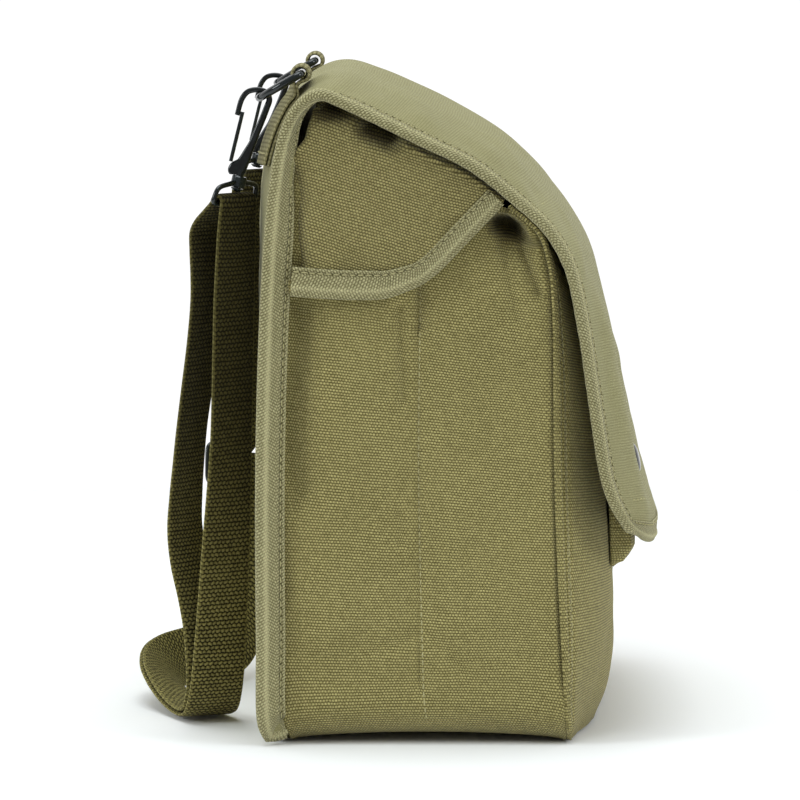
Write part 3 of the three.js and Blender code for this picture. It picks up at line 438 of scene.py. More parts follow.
def plain_uv(rings, loop=False):
    """Around and along, for pieces whose finish doesn't follow a weave."""
    count, sides, _ = rings.shape
    rows = count + 1 if loop else count
    return np.stack(np.meshgrid(np.arange(sides + 1.0), np.arange(rows + 0.0)), -1)


def lathe_rings(outline, centre, axis, sides=40):
    """Rings of a turned shape. outline rows are radius and height along the axis."""
    outline = np.asarray(outline, float)
    axis = unit(np.asarray(axis, float))
    across = unit(np.cross(axis, [1, 0.3, 0.2]))
    other = np.cross(axis, across)
    angle = np.linspace(0, 2 * math.pi, sides, endpoint=False)
    round_ = across * np.cos(angle)[:, None] + other * np.sin(angle)[:, None]
    return centre + axis * outline[:, 1][:, None, None] + round_[None] * outline[:, 0][:, None, None]


def join(*parts):
    """Several skins as one."""
    vertices, faces, uv, start = [], [], [], 0
    for points, quads, corners in parts:
        vertices.append(points)
        faces.append(np.asarray(quads) + start)
        uv.append(corners)
        start += len(points)
    return np.vstack(vertices), np.vstack(faces), np.vstack(uv)


def mirrored(part):
    points, quads, corners = part
    flipped = np.asarray(corners).reshape(len(quads), 4, 2)[:, ::-1].reshape(-1, 2)
    return points * [-1, 1, 1], np.asarray(quads)[:, ::-1], flipped


def pair(name, part, material, node, slot):
    """The same piece on the left and mirrored on the right."""
    for side, made in (("left", part), ("right", mirrored(part))):
        piece(f"{name}_{side}", *made, material, node=f"{node}_{side}", slot=slot)


# Materials

class Graph:
    """A material and short ways to wire its nodes."""

    def __init__(self, name):
        self.material = bpy.data.materials.new(name)
        self.material.use_nodes = True
        self.tree = self.material.node_tree
        self.shader = self.tree.nodes["Principled BSDF"]

    def put(self, socket, value):
        if isinstance(value, bpy.types.NodeSocket):
            self.tree.links.new(value, socket)
        else:
            socket.default_value = value

    def node(self, kind, inputs, **settings):
        made = self.tree.nodes.new(kind)
        for key, value in settings.items():
            setattr(made, key, value)
        for key, value in inputs.items():
            self.put(made.inputs[key], value)
        return made

    def math(self, operation, *values):
        return self.node("ShaderNodeMath", dict(enumerate(values)), operation=operation).outputs[0]

    def scaled(self, value, scale, shift=0.0):
        return self.math("MULTIPLY_ADD", value, scale, shift)

    def inside(self):
        """Places in the object's own space."""
        return self.node("ShaderNodeTexCoord", {}).outputs["Object"]

    def noise(self, scale, detail=2.0):
        inputs = {"Scale": scale, "Detail": detail, "Vector": self.inside()}
        return self.node("ShaderNodeTexNoise", inputs).outputs[0]

    def varied(self, value, scale, detail, amount, middle=0.5):
        """A value that noise shifts to and fro by an amount."""
        noise = self.math("SUBTRACT", self.noise(scale, detail), middle)
        return self.math("MULTIPLY_ADD", noise, amount, value)

    def mix(self, share, low, high):
        made = self.node("ShaderNodeMix", {}, data_type="RGBA")
        for key, value in ((0, share), (6, low), (7, high)):
            self.put(made.inputs[key], value)
        return made.outputs[2]

    def cloth_place(self):
        """Across and along the cloth, in millimetres."""
        uv = self.node("ShaderNodeUVMap", {}, uv_map="cloth").outputs[0]
        parts = self.node("ShaderNodeSeparateXYZ", {0: uv})
        return [self.scaled(parts.outputs[n], 1 / MM) for n in range(2)]

    def surface(self, colour, roughness, height=None, depth=0.3, strength=0.6):
        self.put(self.shader.inputs["Base Color"], colour)
        self.put(self.shader.inputs["Roughness"], roughness)
        if height is not None:
            inputs = {"Height": height, "Distance": depth * MM, "Strength": strength}
            bump = self.node("ShaderNodeBump", inputs)
            self.put(self.shader.inputs["Normal"], bump.outputs[0])
        return self.material


def linear(red, green, blue):
    """A colour that is given as it looks on screen."""
    shares = [c / 255 for c in (red, green, blue)]
    return (*(((s + 0.055) / 1.055) ** 2.4 if s > 0.04 else s / 12.92 for s in shares), 1)


def sin_hump(graph, value):
    """A hump from 0 to 1 to 0 as value goes from one whole number to the next."""
    return graph.math("SINE", graph.scaled(graph.math("FRACT", value), math.pi))


# Unevenness of a weave: its rows and nubs drift, and its tone is mottled. Columns: scale, detail, amount.
ROW_DRIFT = [(24, 1.0, 1.6), (380, 1.0, 0.3)]
NUB_DRIFT = (260, 1.0, 0.7)
MOTTLE = [(22, 3.0, 0.2), (1500, 2.0, 0.4)]
# How far a nub falls off sideways, and the least and the random part of its height
NUB_SIDE = 0.8
NUB_LEAST = 0.7
NUB_CHANCE = 0.35
# The nubs' middle height, the tone that it takes, and how much paler a selvedge is
MIDDLE_HEIGHT = 0.36
MIDDLE_TONE = 0.42
SELVEDGE = 0.22


def weave_material(name, dark, light, row, nub, contrast=1.25, depth=0.5, slant=0, column=5, shaded=0,
                   pale=None, sheen=0.12):
    """Coarse weave: staggered pale nubs in rows that lean to and fro by column.

    shaded is how far the tone follows the painted highlight and shade in the piece's shade attribute. pale
    holds an inset from the middle, past which the cloth is paler, and the heights between which painted shade
    darkens it
    towards its top: full tone below low, the share top of it above high.
    """
    g = Graph(name)
    across, along = g.cloth_place()
    line = g.math("DIVIDE", g.math("ADD", along, g.scaled(g.math("PINGPONG", across, column), slant)), row)
    for scale, detail, amount in ROW_DRIFT:
        line = g.varied(line, scale, detail, amount, 0.0)
    place = g.math("ADD", g.math("DIVIDE", across, nub), g.scaled(g.math("FLOOR", line), 0.5))
    place = g.varied(place, *NUB_DRIFT, 0.0)
    cell = g.node("ShaderNodeCombineXYZ", {0: g.math("FLOOR", place), 1: g.math("FLOOR", line)}).outputs[0]
    chance = g.node("ShaderNodeTexWhiteNoise", {"Vector": cell}, noise_dimensions="2D").outputs[0]
    bump = g.math("MULTIPLY", g.scaled(sin_hump(g, place), NUB_SIDE, 1 - NUB_SIDE), sin_hump(g, line))
    height = g.math("MULTIPLY", bump, g.scaled(chance, NUB_CHANCE, NUB_LEAST))
    tone = g.math("MULTIPLY_ADD", g.math("SUBTRACT", height, MIDDLE_HEIGHT), contrast, MIDDLE_TONE)
    for mottle in MOTTLE:
        tone = g.varied(tone, *mottle)
    # Painted highlight and shade from the piece's shade attribute.
    if shaded:
        shade = g.node("ShaderNodeAttribute", {}, attribute_name="shade").outputs["Fac"]
        tone = g.math("MULTIPLY_ADD", shade, shaded, tone)
    # Painted shade: the tone is scaled down with height, so the webbing is darker towards its top, where it
    # faces the bag and lies in its shade. Selvedges past the inset stay paler.
    if pale:
        selvedge = g.math("GREATER_THAN", g.math("ABSOLUTE", across), pale["inset"])
        up = g.node("ShaderNodeSeparateXYZ", {0: g.inside()}).outputs[2]
        heights = {0: up, 1: pale["high"] * MM, 2: pale["low"] * MM, 3: pale["top"], 4: 1.0}
        wear_and_painted_shade = g.node("ShaderNodeMapRange", heights, interpolation_type="SMOOTHSTEP").outputs[0]
        tone.node.use_clamp = True
        tone = g.math("MULTIPLY_ADD", selvedge, SELVEDGE, g.math("MULTIPLY", tone, wear_and_painted_shade))
    tone.node.use_clamp = True
    g.put(g.shader.inputs["Sheen Weight"], sheen)
    g.put(g.shader.inputs["Sheen Roughness"], 0.6)
    g.put(g.shader.inputs["Specular IOR Level"], 0.15)
    return g.surface(g.mix(tone, dark, light), 0.92, height, depth, 0.8)


def metal_material(name):
    """Black enamel on steel, worn a little paler on its edges."""
    g = Graph(name)
    bevel = g.node("ShaderNodeNewGeometry", {}).outputs["Pointiness"]
    patches = g.scaled(g.noise(260, 3.0), 0.5, -0.25)
    wear_and_painted_shade = g.math("MULTIPLY_ADD", g.math("SUBTRACT", bevel, 0.5), 5.0, patches)
    wear_and_painted_shade.node.use_clamp = True
    g.put(g.shader.inputs["Specular IOR Level"], 0.5)
    roughness = g.scaled(g.noise(500, 2.0), 0.1, 0.06)
    return g.surface(g.mix(wear_and_painted_shade, linear(6, 9, 9), linear(40, 52, 53)), roughness, g.noise(700), 0.02, 0.2)


def thread_material(name, dark, light):
    g = Graph(name)
    across, along = g.cloth_place()
    ply = sin_hump(g, g.math("ADD", g.math("DIVIDE", along, 0.7), g.math("DIVIDE", across, 1.0)))
    return g.surface(g.mix(g.scaled(ply, 0.8, 0.1), dark, light), 0.85, ply, 0.08, 0.5)


CANVAS_WEAVE = {"row": 1.14, "nub": 1.25}
FLAP_WEAVE = {**CANVAS_WEAVE, "contrast": 0.55, "depth": 0.2}
TAPE_WEAVE = {
    "row": 1.24, "nub": 1.44, "contrast": 1.0, "depth": 0.45, "slant": 0.43, "column": 5.2, "shaded": 0.5,
}
# pale on the strap: paler selvedges, and painted shade that darkens the webbing from full tone at 40 mm to
# 0.3 of it at 150 mm and above. On the tab the painted shade would start at 290 mm, above the tab.
STRAP_WEAVE = {
    "row": 1.8, "nub": 2.3, "contrast": 1.5, "depth": 0.6, "slant": 0.4, "column": 1.15, "sheen": 0.02,
    "pale": {"inset": 11.7, "high": 150, "low": 40, "top": 0.3},
}
TAB_WEAVE = {
    **STRAP_WEAVE, "contrast": 0.8, "depth": 0.3,
    "pale": {"inset": 11.5, "high": 300, "low": 290, "top": 0.8},
}
canvas = weave_material("canvas", linear(78, 70, 29), linear(186, 175, 114), **CANVAS_WEAVE)
# The ear's canvas is a darker copy of the canvas: painted shade for the ear, which hangs under the flap.
shaded_ear_canvas = weave_material("shaded_ear_canvas", linear(70, 62, 26), linear(176, 165, 108), **CANVAS_WEAVE)
# The flap's canvas is a greyer copy of the canvas: painted light and sheen of the flap, which faces the top
# light.
lit_flap_canvas = weave_material("lit_flap_canvas", linear(112, 106, 63), linear(166, 161, 116), **FLAP_WEAVE)
tape = weave_material("binding_tape", linear(86, 80, 42), linear(190, 183, 138), **TAPE_WEAVE)
webbing = weave_material("webbing", linear(22, 17, 0), linear(150, 141, 84), **STRAP_WEAVE)
tab_webbing = weave_material("tab_webbing", linear(76, 70, 38), linear(164, 157, 116), **TAB_WEAVE)
black_metal = metal_material("black_metal")
thread = thread_material("thread", linear(104, 95, 50), linear(204, 196, 146))


# Camera

def make_camera():
    forward = np.array([
        math.cos(CAMERA_ELEVATION) * math.cos(CAMERA_YAW),
        math.cos(CAMERA_ELEVATION) * math.sin(CAMERA_YAW),
        -math.sin(CAMERA_ELEVATION),
    ])
    data = bpy.data.cameras.new("camera")
    data.sensor_width = 36
    data.lens = CAMERA_LENS
    data.clip_end = 20
    camera = show("camera", data)
    point_at(camera, (AIM - forward * CAMERA_DISTANCE) * MM, forward)
    bpy.context.scene.camera = camera


make_camera()


# Strap

STRAP_LINE = Line(STRAP_ROUTE[:, :3])
STRAP_ANGLES = Line(np.column_stack([STRAP_ROUTE[:, 3:5], np.zeros(len(STRAP_ROUTE))]))
STRAP_LAYERS = Line(STRAP_ROUTE[:, 5:8])
LAST_ROW = len(STRAP_ROUTE) - 1
LOOP_STEPS = 4


def strap_frame(row, returning=False):
    """The webbing's frame at a place on the route: middle, along, width, inward and its layers."""
    row = np.clip(row, 0, LAST_ROW)
    middle = STRAP_LINE.by_row(row)
    along = unit(STRAP_LINE.read(STRAP_LINE.headings, row, STRAP_LINE.rows))
    run, back, twist = STRAP_LAYERS.by_row(row)
    turn, bank, _ = np.radians(STRAP_ANGLES.by_row(row))
    turn += math.radians(twist) if returning else 0
    width = np.array([math.cos(bank) * math.sin(turn), -math.cos(bank) * math.cos(turn), -math.sin(bank)])
    inward = unit(np.cross(width, along))
    return {"middle": middle, "along": along, "width": width, "inward": inward, "run": run, "back": back}


def running_at(row):
    f = strap_frame(row)
    return f["middle"] - f["inward"] * f["run"], f["width"]


def returning_at(row):
    f = strap_frame(row, returning=True)
    return f["middle"] + f["inward"] * f["back"], f["width"]


def over_bar(f, radius, up, side):
    """Half a turn over a bar, from one layer's side to the other."""
    angles = [math.pi * (i + 1) / LOOP_STEPS for i in range(LOOP_STEPS - 1)]
    turns = [(f["inward"] * side * math.cos(a) + up * math.sin(a)) * radius for a in angles]
    return [(f["middle"] + turn, f["width"]) for turn in turns]


def rows_between(start, end, per_row):
    return np.linspace(start, end, round(abs(end - start) * per_row) + 1)


def strap_stations():
    slide = strap_frame(SLIDE_ROW)
    left, right = strap_frame(0), strap_frame(LAST_ROW)
    wrap = SLIDE_RETURN[0][1]

    def at_slide(height, amount):
        return slide["middle"] + slide["along"] * height + slide["inward"] * amount, slide["width"]

    return [
        at_slide(-SLIDE_TAIL, -wrap),
        at_slide(0, -wrap),
        *over_bar(slide, wrap, slide["along"], -1),
        *(at_slide(height, back) for height, back in SLIDE_RETURN),
        *map(returning_at, rows_between(SLIDE_ROW - SLIDE_REACH, 0, 3)),
        *over_bar(left, left["back"], -left["along"], 1),
        *map(running_at, rows_between(0, SLIDE_ROW - SLIDE_REACH, 3)),
        *(at_slide(height, -run) for height, run in SLIDE_WEAVE),
        *map(running_at, rows_between(SLIDE_ROW + SLIDE_REACH, LAST_ROW, 3)),
        *over_bar(right, right["run"], right["along"], -1),
        *map(returning_at, rows_between(LAST_ROW, LAST_ROW - 1, 4)),
    ]


def band_section(width, thickness, steps=9):
    """Half of a flat band's section, thinner at its rounded selvedges. Columns: across, up."""
    across = np.sin(np.linspace(-1, 1, steps) * math.pi / 2) * width / 2
    up = thickness / 2 * (1 - 0.62 * np.abs(2 * across / width) ** 14)
    return np.column_stack([across, up])


def band_rings(path, widths, width, thickness):
    """Rings and uv of a flat band along a path, with the direction of its width at each place."""
    face = unit(np.cross(np.gradient(path, axis=0), widths))
    half = band_section(width, thickness)
    section = np.vstack([half, half[::-1] * [1, -1]])
    rings = path[:, None] + widths[:, None] * section[:, :1] + face[:, None] * section[:, 1:]
    across = np.append(section[:, 0], section[0, 0])
    return rings, np.stack(np.meshgrid(across, lengths(path)), -1)


def make_strap():
    points, widths = (np.array(column) for column in zip(*strap_stations()))
    line, turning = Line(points), Line(widths)
    rows = np.arange(0, len(points) - 1 + 0.01, 0.125)
    path = line.by_row(rows)
    width = unit(turning.by_row(rows))
    rings, uv = band_rings(path, width, WEBBING_WIDTH, WEBBING)
    piece("strap_webbing", *skin(rings, uv), webbing, node="strap", slot="webbing")


make_strap()


# Back panel and flap

PANEL = profile(PANEL_MIDDLE)
EDGE = profile(PANEL_EDGE)


def flap_relief(x, z):
    ridge = FLAP_RIDGE
    window = ease(z, ridge["low"] - 15, ridge["low"]) * (1 - ease(z, ridge["high"] - 20, ridge["high"]))
    rise = ridge["height"] * bell(x - ridge["x"], ridge["width"]) * window
    dip = SNAP_DIP["depth"] * bell(x - SNAP_X, SNAP_DIP["width"]) * bell(z - SNAP_Z, SNAP_DIP["height"])
    crest = FLAP_CREST["height"] * bell(x - FLAP_CREST["x"], FLAP_CREST["width"]) * window
    return rise + crest - dip


def panel_point(u, t):
    """A point of the sheet: u runs from the hem to the lip, t from -1 at the left edge to 1."""
    u, t = np.broadcast_arrays(np.asarray(u, float), np.asarray(t, float))
    a = np.abs(t)[..., None]
    middle, edge, slope = PANEL.at(u), EDGE.at(u), PANEL.heading(u)
    outward = point(0, slope[..., 2], -slope[..., 1])
    hanging = mix(middle, edge, a**FLAP_FULLNESS)
    hanging[..., 0] = a[..., 0] * edge[..., 0]
    on_flap = ease(u, FIN_FADE[1], FIN_FADE[1] + 0.1)
    hanging += outward * (flap_relief(hanging[..., 0], hanging[..., 2]) * on_flap)[..., None]
    root = edge - outward * FIN_WIDTH * math.sqrt(1 - FIN_LEAN**2)
    root[..., 0] -= FIN_WIDTH * FIN_LEAN
    inner = np.minimum(a / FIN_ROOT, 1)
    standing = mix(middle, root, inner**BACK_FULLNESS)
    standing[..., 0] = root[..., 0] * inner[..., 0]
    standing = mix(standing, edge, np.maximum((a - FIN_ROOT) / (1 - FIN_ROOT), 0))
    result = mix(standing, hanging, ease(u, *FIN_FADE)[..., None])
    result[..., 0] *= np.sign(t)
    return result


def panel_normal(u, t):
    return sheet_normal(panel_point, u, t)


PANEL_ROWS = np.concatenate([
    np.linspace(0, 0.42, 90), np.linspace(0.42, 0.6, 70)[1:], np.linspace(0.6, 1, 110)[1:],
])
PANEL_COLUMNS = np.concatenate([[-1], np.linspace(-FIN_ROOT, FIN_ROOT, 111), [1]])
PANEL_COLUMNS = np.sort(np.concatenate([PANEL_COLUMNS, [s * (FIN_ROOT + 1) / 2 for s in (-1, 1)]]))


def make_panel():
    grid = panel_point(PANEL_ROWS[:, None], PANEL_COLUMNS[None])
    calm = np.clip((1 - np.abs(PANEL_COLUMNS)) / 0.12, 0, 1)[None] * ease(PANEL_ROWS, 0, 0.05)[:, None]
    calm = calm * (1 - ease(PANEL_ROWS, 0.95, 1))[:, None]
    uneven = 0.5 * waves(grid, 90, 3) + 0.16 * waves(grid, 26, 4)
    beside = bell(np.abs(PANEL_COLUMNS) - 0.86, 0.09)[None] * ease(PANEL_ROWS, 0.5, 0.6)[:, None]
    uneven = uneven * calm + 0.7 * beside * calm * waves(grid * [0.3, 1, 1], 24, 5)
    creased = creases(grid[..., 0], grid[..., 2], FLAP_CREASES)
    uneven = uneven + creased * calm * ease(PANEL_ROWS, 0.5, 0.58)[:, None]
    grid = grid - normals(grid) * uneven[..., None]
    sheet = cloth("flap_cloth", grid, CANVAS, lit_flap_canvas, node="back_flap", slot="canvas")


make_panel()


# Binding tapes

TAPE_SHARES = np.array([1, 0.95, 0.9, 0.86, 0.82, 0.78, 0.74, 0.66, 0.5, 0.35, 0.26, 0.2, 0.14, 0.06])
# The stitched groove and the ridge, as shares of the tape's width
TAPE_GROOVE = 0.82
GROOVE_DEPTH = 0.7
RIDGE_SHARE = 0.2
# How far the tape's inner edge is turned down
TAPE_TUCK = 0.35
PUCKER_PITCH = 7.3
TAPE_BEND = np.radians([70, 45, 20, 0, -20, -45, -70])


def tape_skin(edge, inner, edge_normal, inner_normal, loop):
    """A strip folded round an edge. Each station has the edge, a point a tape's width in, and normals."""
    outward = unit(edge - inner)
    near, far = CANVAS / 2 + TAPE_GAP, CANVAS / 2 + TAPE_GAP + TAPE
    along = lengths(edge)
    pucker = 0.1 * np.sin(along * 2 * math.pi / PUCKER_PITCH) + 0.12 * waves(edge, 17, 9)

    def relief(share):
        swell = pucker * math.sin(math.pi * share) + TAPE_RIDGE * bell(share - RIDGE_SHARE, 0.1)
        return swell - GROOVE_DEPTH * bell(share - TAPE_GROOVE, 0.055) - (TAPE_TUCK if share == 1 else 0)

    def chain(reach, outer):
        rows = []
        for side in (1, -1):
            face = []
            for share in TAPE_SHARES:
                normal = unit(mix(edge_normal, inner_normal, share))
                lift = reach + (relief(share) if outer else 0 * pucker)
                face.append(mix(edge, inner, share) + normal * side * lift[:, None])
            rows.append(face if side == 1 else face[::-1])
        bend = [
            edge + edge_normal * reach * math.sin(a)
            + outward * (TAPE_GAP + (reach - near * 0.3) * math.cos(a))
            for a in TAPE_BEND
        ]
        return rows[0] + bend + rows[1]

    rings = np.stack(chain(far, True) + chain(near, False)[::-1], 1)
    across = lengths(rings[0, : rings.shape[1] // 2])
    across -= across[-1] / 2
    across = np.concatenate([across, across[::-1], across[:1]])
    rows = np.append(along, along[-1] + np.linalg.norm(edge[0] - edge[-1])) if loop else along
    uv = np.stack(np.meshgrid(across, rows), -1)
    shares = np.concatenate([TAPE_SHARES, np.zeros(len(TAPE_BEND)), TAPE_SHARES[::-1]])
    # Painted light for the tape's outer face, read by its material through the shade attribute: a painted
    # highlight along the ridge and at the turned-down inner edge, and painted shade in the stitched groove.
    painted_light_marks = bell(shares - RIDGE_SHARE, 0.09) - bell(shares - TAPE_GROOVE, 0.05)
    painted_light_marks = painted_light_marks + 0.5 * bell(shares - 1, 0.05)
    shade = np.tile(np.concatenate([painted_light_marks, 0 * painted_light_marks]), len(rings))
    return skin(rings, uv, loop), shade


def panel_border():
    """Places round the sheet's border, as u and t."""
    u, t = PANEL_ROWS, PANEL_COLUMNS
    return np.vstack([
        np.column_stack([np.zeros(len(t) - 1), t[:-1]]),
        np.column_stack([u[:-1], np.ones(len(u) - 1)]),
        np.column_stack([np.ones(len(t) - 1), t[:0:-1]]),
        np.column_stack([u[:0:-1], -np.ones(len(u) - 1)]),
    ])


# How far the tape reaches in: past the fin's root, and as shares of the sheet's length at the hem and lip
FIN_OVERLAP = 3.0
HEM_SHARE = 13 / PANEL.length
LIP_SHARE = 9 / PANEL.length


def border_frames():
    """The border's edge, the tape's inner line, and the normals at both."""
    place = panel_border()
    grid_normal = -panel_normal(np.clip(place[:, 0], 0.004, 0.996), np.clip(place[:, 1], -0.996, 0.996))
    inside = np.column_stack([
        np.clip(place[:, 0], HEM_SHARE, 1 - LIP_SHARE), np.clip(place[:, 1], -FIN_ROOT, FIN_ROOT),
    ])
    inner_normal = -panel_normal(inside[:, 0], np.clip(inside[:, 1], -0.93, 0.93))
    standing = ease(place[:, 0], 0, 0.004) * (1 - ease(place[:, 0], FIN_FADE[0] - 0.06, FIN_FADE[0]))
    standing = np.where(np.abs(place[:, 1]) == 1, standing, 0)[:, None]
    inner_normal = mix(inner_normal, grid_normal, standing)
    inner = panel_point(*inside.T) - np.array([0, FIN_OVERLAP, 0]) * standing
    return panel_point(*place.T), inner, grid_normal, inner_normal


def make_edge_binding():
    part, shade = tape_skin(*border_frames(), loop=True)
    piece("edge_tape", *part, tape, node="edge_binding", slot="tape", shade=shade)


make_edge_binding()


# Front panel

FRONT = profile(FRONT_MIDDLE)
SEAM = profile(FRONT_SEAM)


def front_point(u, t):
    u, t = np.broadcast_arrays(np.asarray(u, float), np.asarray(t, float))
    power = mix(*FRONT_FULLNESS, ease(u, 0, 0.25))
    seam = SEAM.at(u)
    result = mix(FRONT.at(u), seam, (np.abs(t) ** power)[..., None])
    result[..., 0] = t * seam[..., 0]
    return result


def front_at(x, z):
    """The front panel's point at a place seen from the front."""
    t = x / WALL_X
    shares = np.linspace(0, 1, 400)
    line = front_point(shares, t)
    return line[np.clip(np.searchsorted(line[:, 2], z), 0, 399)]


def make_front():
    t = np.sin(np.linspace(-1, 1, 161) * math.pi / 2)
    u = np.linspace(0, 1, 141)
    grid = front_point(u[:, None], t[None])
    calm = np.clip((1 - np.abs(t)) / 0.08, 0, 1)[None]
    grid[..., 1] += calm * (0.8 * waves(grid, 70, 12) + 0.2 * waves(grid, 24, 13))
    inset = ((1 - np.abs(t)) * WALL_X)[None, :, None]
    grid = grid - normals(grid) * sum(high * bell(inset - at, width) for at, width, high in FRONT_SEWN)
    sheet = cloth("front_cloth", grid, CANVAS, canvas, node="front_panel", slot="canvas")


make_front()


# Gusset

SEAM_STEP = CANVAS / 2 + SEAM_GAP
FIN_ROOT_LINE = panel_point(np.linspace(0, 0.5, 300), -FIN_ROOT)


def fin_root_y(z):
    return np.interp(z, FIN_ROOT_LINE[:, 2], FIN_ROOT_LINE[:, 1])


def seam_y(z):
    return np.interp(z, SEAM.samples[:, 2], SEAM.samples[:, 1])


def gusset_half():
    """Half of the strip, from the wall's top to the middle of the base. Columns: x, z and y at both edges."""
    centre_x, centre_z = WALL_X - BASE_CORNER, CANVAS / 2 + BASE_CORNER
    rise = np.concatenate([np.linspace(1, 0.8, 40, endpoint=False), np.linspace(0.8, 0, 90, endpoint=False)])
    z_front, z_back = (mix(centre_z, WALL_TOP[end], rise) for end in ("front", "back"))
    wall = np.column_stack([
        np.full_like(rise, WALL_X), z_front, z_back,
        seam_y(z_front) + SEAM_STEP + 0.7 * ease(z_front, 205, 219), fin_root_y(z_back) - WALL_SEAT,
    ])
    angle = np.linspace(0, math.pi / 2, 16)
    z = centre_z - BASE_CORNER * np.sin(angle)
    seat = mix(WALL_SEAT, BASE_SEAT, angle / angle[-1])
    corner = np.column_stack([
        centre_x + BASE_CORNER * np.cos(angle), z, z, seam_y(z) + SEAM_STEP, fin_root_y(z) - seat,
    ])
    x = np.linspace(centre_x, 0, 40)[1:]
    flat = np.full_like(x, CANVAS / 2)
    front = front_point(0, x / FRONT_SEAM[0][0])[:, 1] + SEAM_STEP
    back = panel_point(0, x / PANEL_EDGE[0][0])[:, 1] - BASE_SEAT
    return np.vstack([wall, corner, np.column_stack([x, flat, flat, front, back])])


GUSSET_ACROSS = np.concatenate([
    np.linspace(0, 0.03, 8), np.linspace(0.03, 0.12, 10)[1:], np.linspace(0.12, 1, 76)[1:],
])


def hollow(y, z):
    """A deep oval hollow, steep at its rim."""
    h = WALL_HOLLOW
    ahead, up = y - h["y"], z - h["z"]
    along = ahead * math.cos(h["tilt"]) + up * math.sin(h["tilt"])
    across = up * math.cos(h["tilt"]) - ahead * math.sin(h["tilt"])
    return h["depth"] * bell((along / h["long"]) ** 2 + (across / h["short"]) ** 2, 1.0)


def gusset_rows(side):
    x, z_front, z_back, front, back = (column[:, None] for column in gusset_half().T)
    share = GUSSET_ACROSS[None]
    y, z = mix(front, back, share), mix(z_front, z_back, share)
    arch = BASE_LIFT["height"] * np.sqrt(np.maximum(np.sin(math.pi * share), 0))
    z = z + arch * ease(x, BASE_LIFT["from"], BASE_LIFT["to"]) * (1 - ease(z, 8, 40))
    upright = ease(z, BASE_CORNER, 2 * BASE_CORNER)
    away = np.hypot(y - WALL_FOLD["y"], z - WALL_FOLD["z"])
    fold = WALL_FOLD["depth"] * bell(away, WALL_FOLD["radius"]) * np.minimum(share / 0.06, 1)
    fold = fold + hollow(y, z) * np.minimum(share / 0.03, 1)
    crease = WALL_CREASE["depth"] * bell(y - WALL_CREASE["y"], WALL_CREASE["width"])
    tuck = WALL_TUCK * ease(share, 0.8, 1) + SEAM_TUCK * (1 - ease(share, 0, 0.022)) * upright
    crease = crease + creases(y, z, WALL_CREASES)
    place = point(side * x, y, z)
    calm = ease(share, 0, 0.06) * (1 - ease(share, 0.94, 1)) * upright
    dents = calm * (1.2 * waves(place * [1, 1, 0.8], 75, 21) + 0.25 * waves(place, 24, 22))
    return point(side * (x - upright * (fold + crease) - tuck - dents), y, z)


GUSSET_LEFT = gusset_rows(-1)


def make_gusset():
    grid = np.concatenate([GUSSET_LEFT, gusset_rows(1)[::-1][1:]])
    sheet = cloth("gusset_cloth", grid, CANVAS, canvas, node="gusset", slot="canvas")


make_gusset()


# Front pocket

def make_pocket():
    seat = CANVAS / 2 + SEAM_GAP + POCKET_CANVAS / 2 + 0.2
    rim = np.array([1, 0.995, 0.985, 0.97])
    across = np.concatenate([-rim, np.linspace(-0.94, 0.94, 51), rim[::-1]])
    height = POCKET_TOP - POCKET_BOTTOM
    rise = np.concatenate([[0, 0.8, 1.6, POCKET_WALL, 4], np.linspace(6, height, 40)])
    grid = np.array([[front_at(a * POCKET_HALF, POCKET_BOTTOM + h) for a in across] for h in rise])
    depth = mix(POCKET_DEEP, POCKET_SHALLOW, ease(rise, POCKET_WALL, height))[:, None]
    standing = np.minimum(ease((1 - np.abs(across)) * POCKET_HALF, 0, POCKET_WALL)[None],
                          np.sqrt(ease(rise, -1, 9))[:, None] * ease(rise, 0, POCKET_WALL)[:, None])
    grid[..., 1] -= seat + depth * standing + 0.25 * waves(grid, 30, 31) * standing
    sheet = cloth("pocket_cloth", grid, POCKET_CANVAS, canvas, node="front_pocket", slot="canvas")


make_pocket()


# Side ears

EAR_EDGE = profile(EAR_BOTTOM)
EDGE_SHARES = np.linspace(0.45, 0.9, 600)
EAR_REACH = np.interp([-EAR_TUCK["backY"], -EAR_TUCK["frontY"]], -EDGE.at(EDGE_SHARES)[:, 1], EDGE_SHARES)


def ear_point(across, down):
    """A point of the left ear: across from its back edge to its front, down from under the flap."""
    across, down = np.broadcast_arrays(across, down)
    u = mix(*EAR_REACH, across)
    tucked = panel_point(u, -EAR_TUCK["across"]) - panel_normal(u, -EAR_TUCK["across"]) * EAR_TUCK["under"]
    flap_edge = panel_point(u, -1.0)
    share = np.clip((down - EAR_FIRST) / (1 - EAR_FIRST), 0, 1)
    shoulder = mix(EAR_SHOULDER["back"], EAR_SHOULDER["front"], np.sqrt(across))
    top = point(-shoulder, flap_edge[..., 1], flap_edge[..., 2] - EAR_TUCK["below"])
    result = mix(top, EAR_EDGE.at(across), share[..., None])
    result[..., 1] += EAR_SHOULDER["bulge"] * np.sin(math.pi * share) * (1 - across)
    result[..., 0] = -mix(shoulder, EAR_X, ease(share, 0, 0.4))
    hidden = np.clip(1 - down / EAR_FIRST, 0, 1)
    result = mix(result, tucked, hidden[..., None])
    clearance = EAR_CLEARANCE + EAR_TOP_CLEARANCE * ease(result[..., 2], *EAR_TOP)
    beside = fin_root_y(np.minimum(result[..., 2], EAR_TOP[1])) - clearance - result[..., 1]
    close = (1 - ease(across, 0, 0.3)) * (1 - hidden) * mix(1, 0.35, ease(share, 0.5, 1))
    result[..., 1] += close * np.maximum(beside, 0)
    lower = ease(share, 0.2, 0.5) * (1 - ease(share, 0.8, 0.97))
    result[..., 0] += EAR_DIVE * (1 - ease(across, 0.04, 0.2)) * (1 - hidden) * lower
    return result


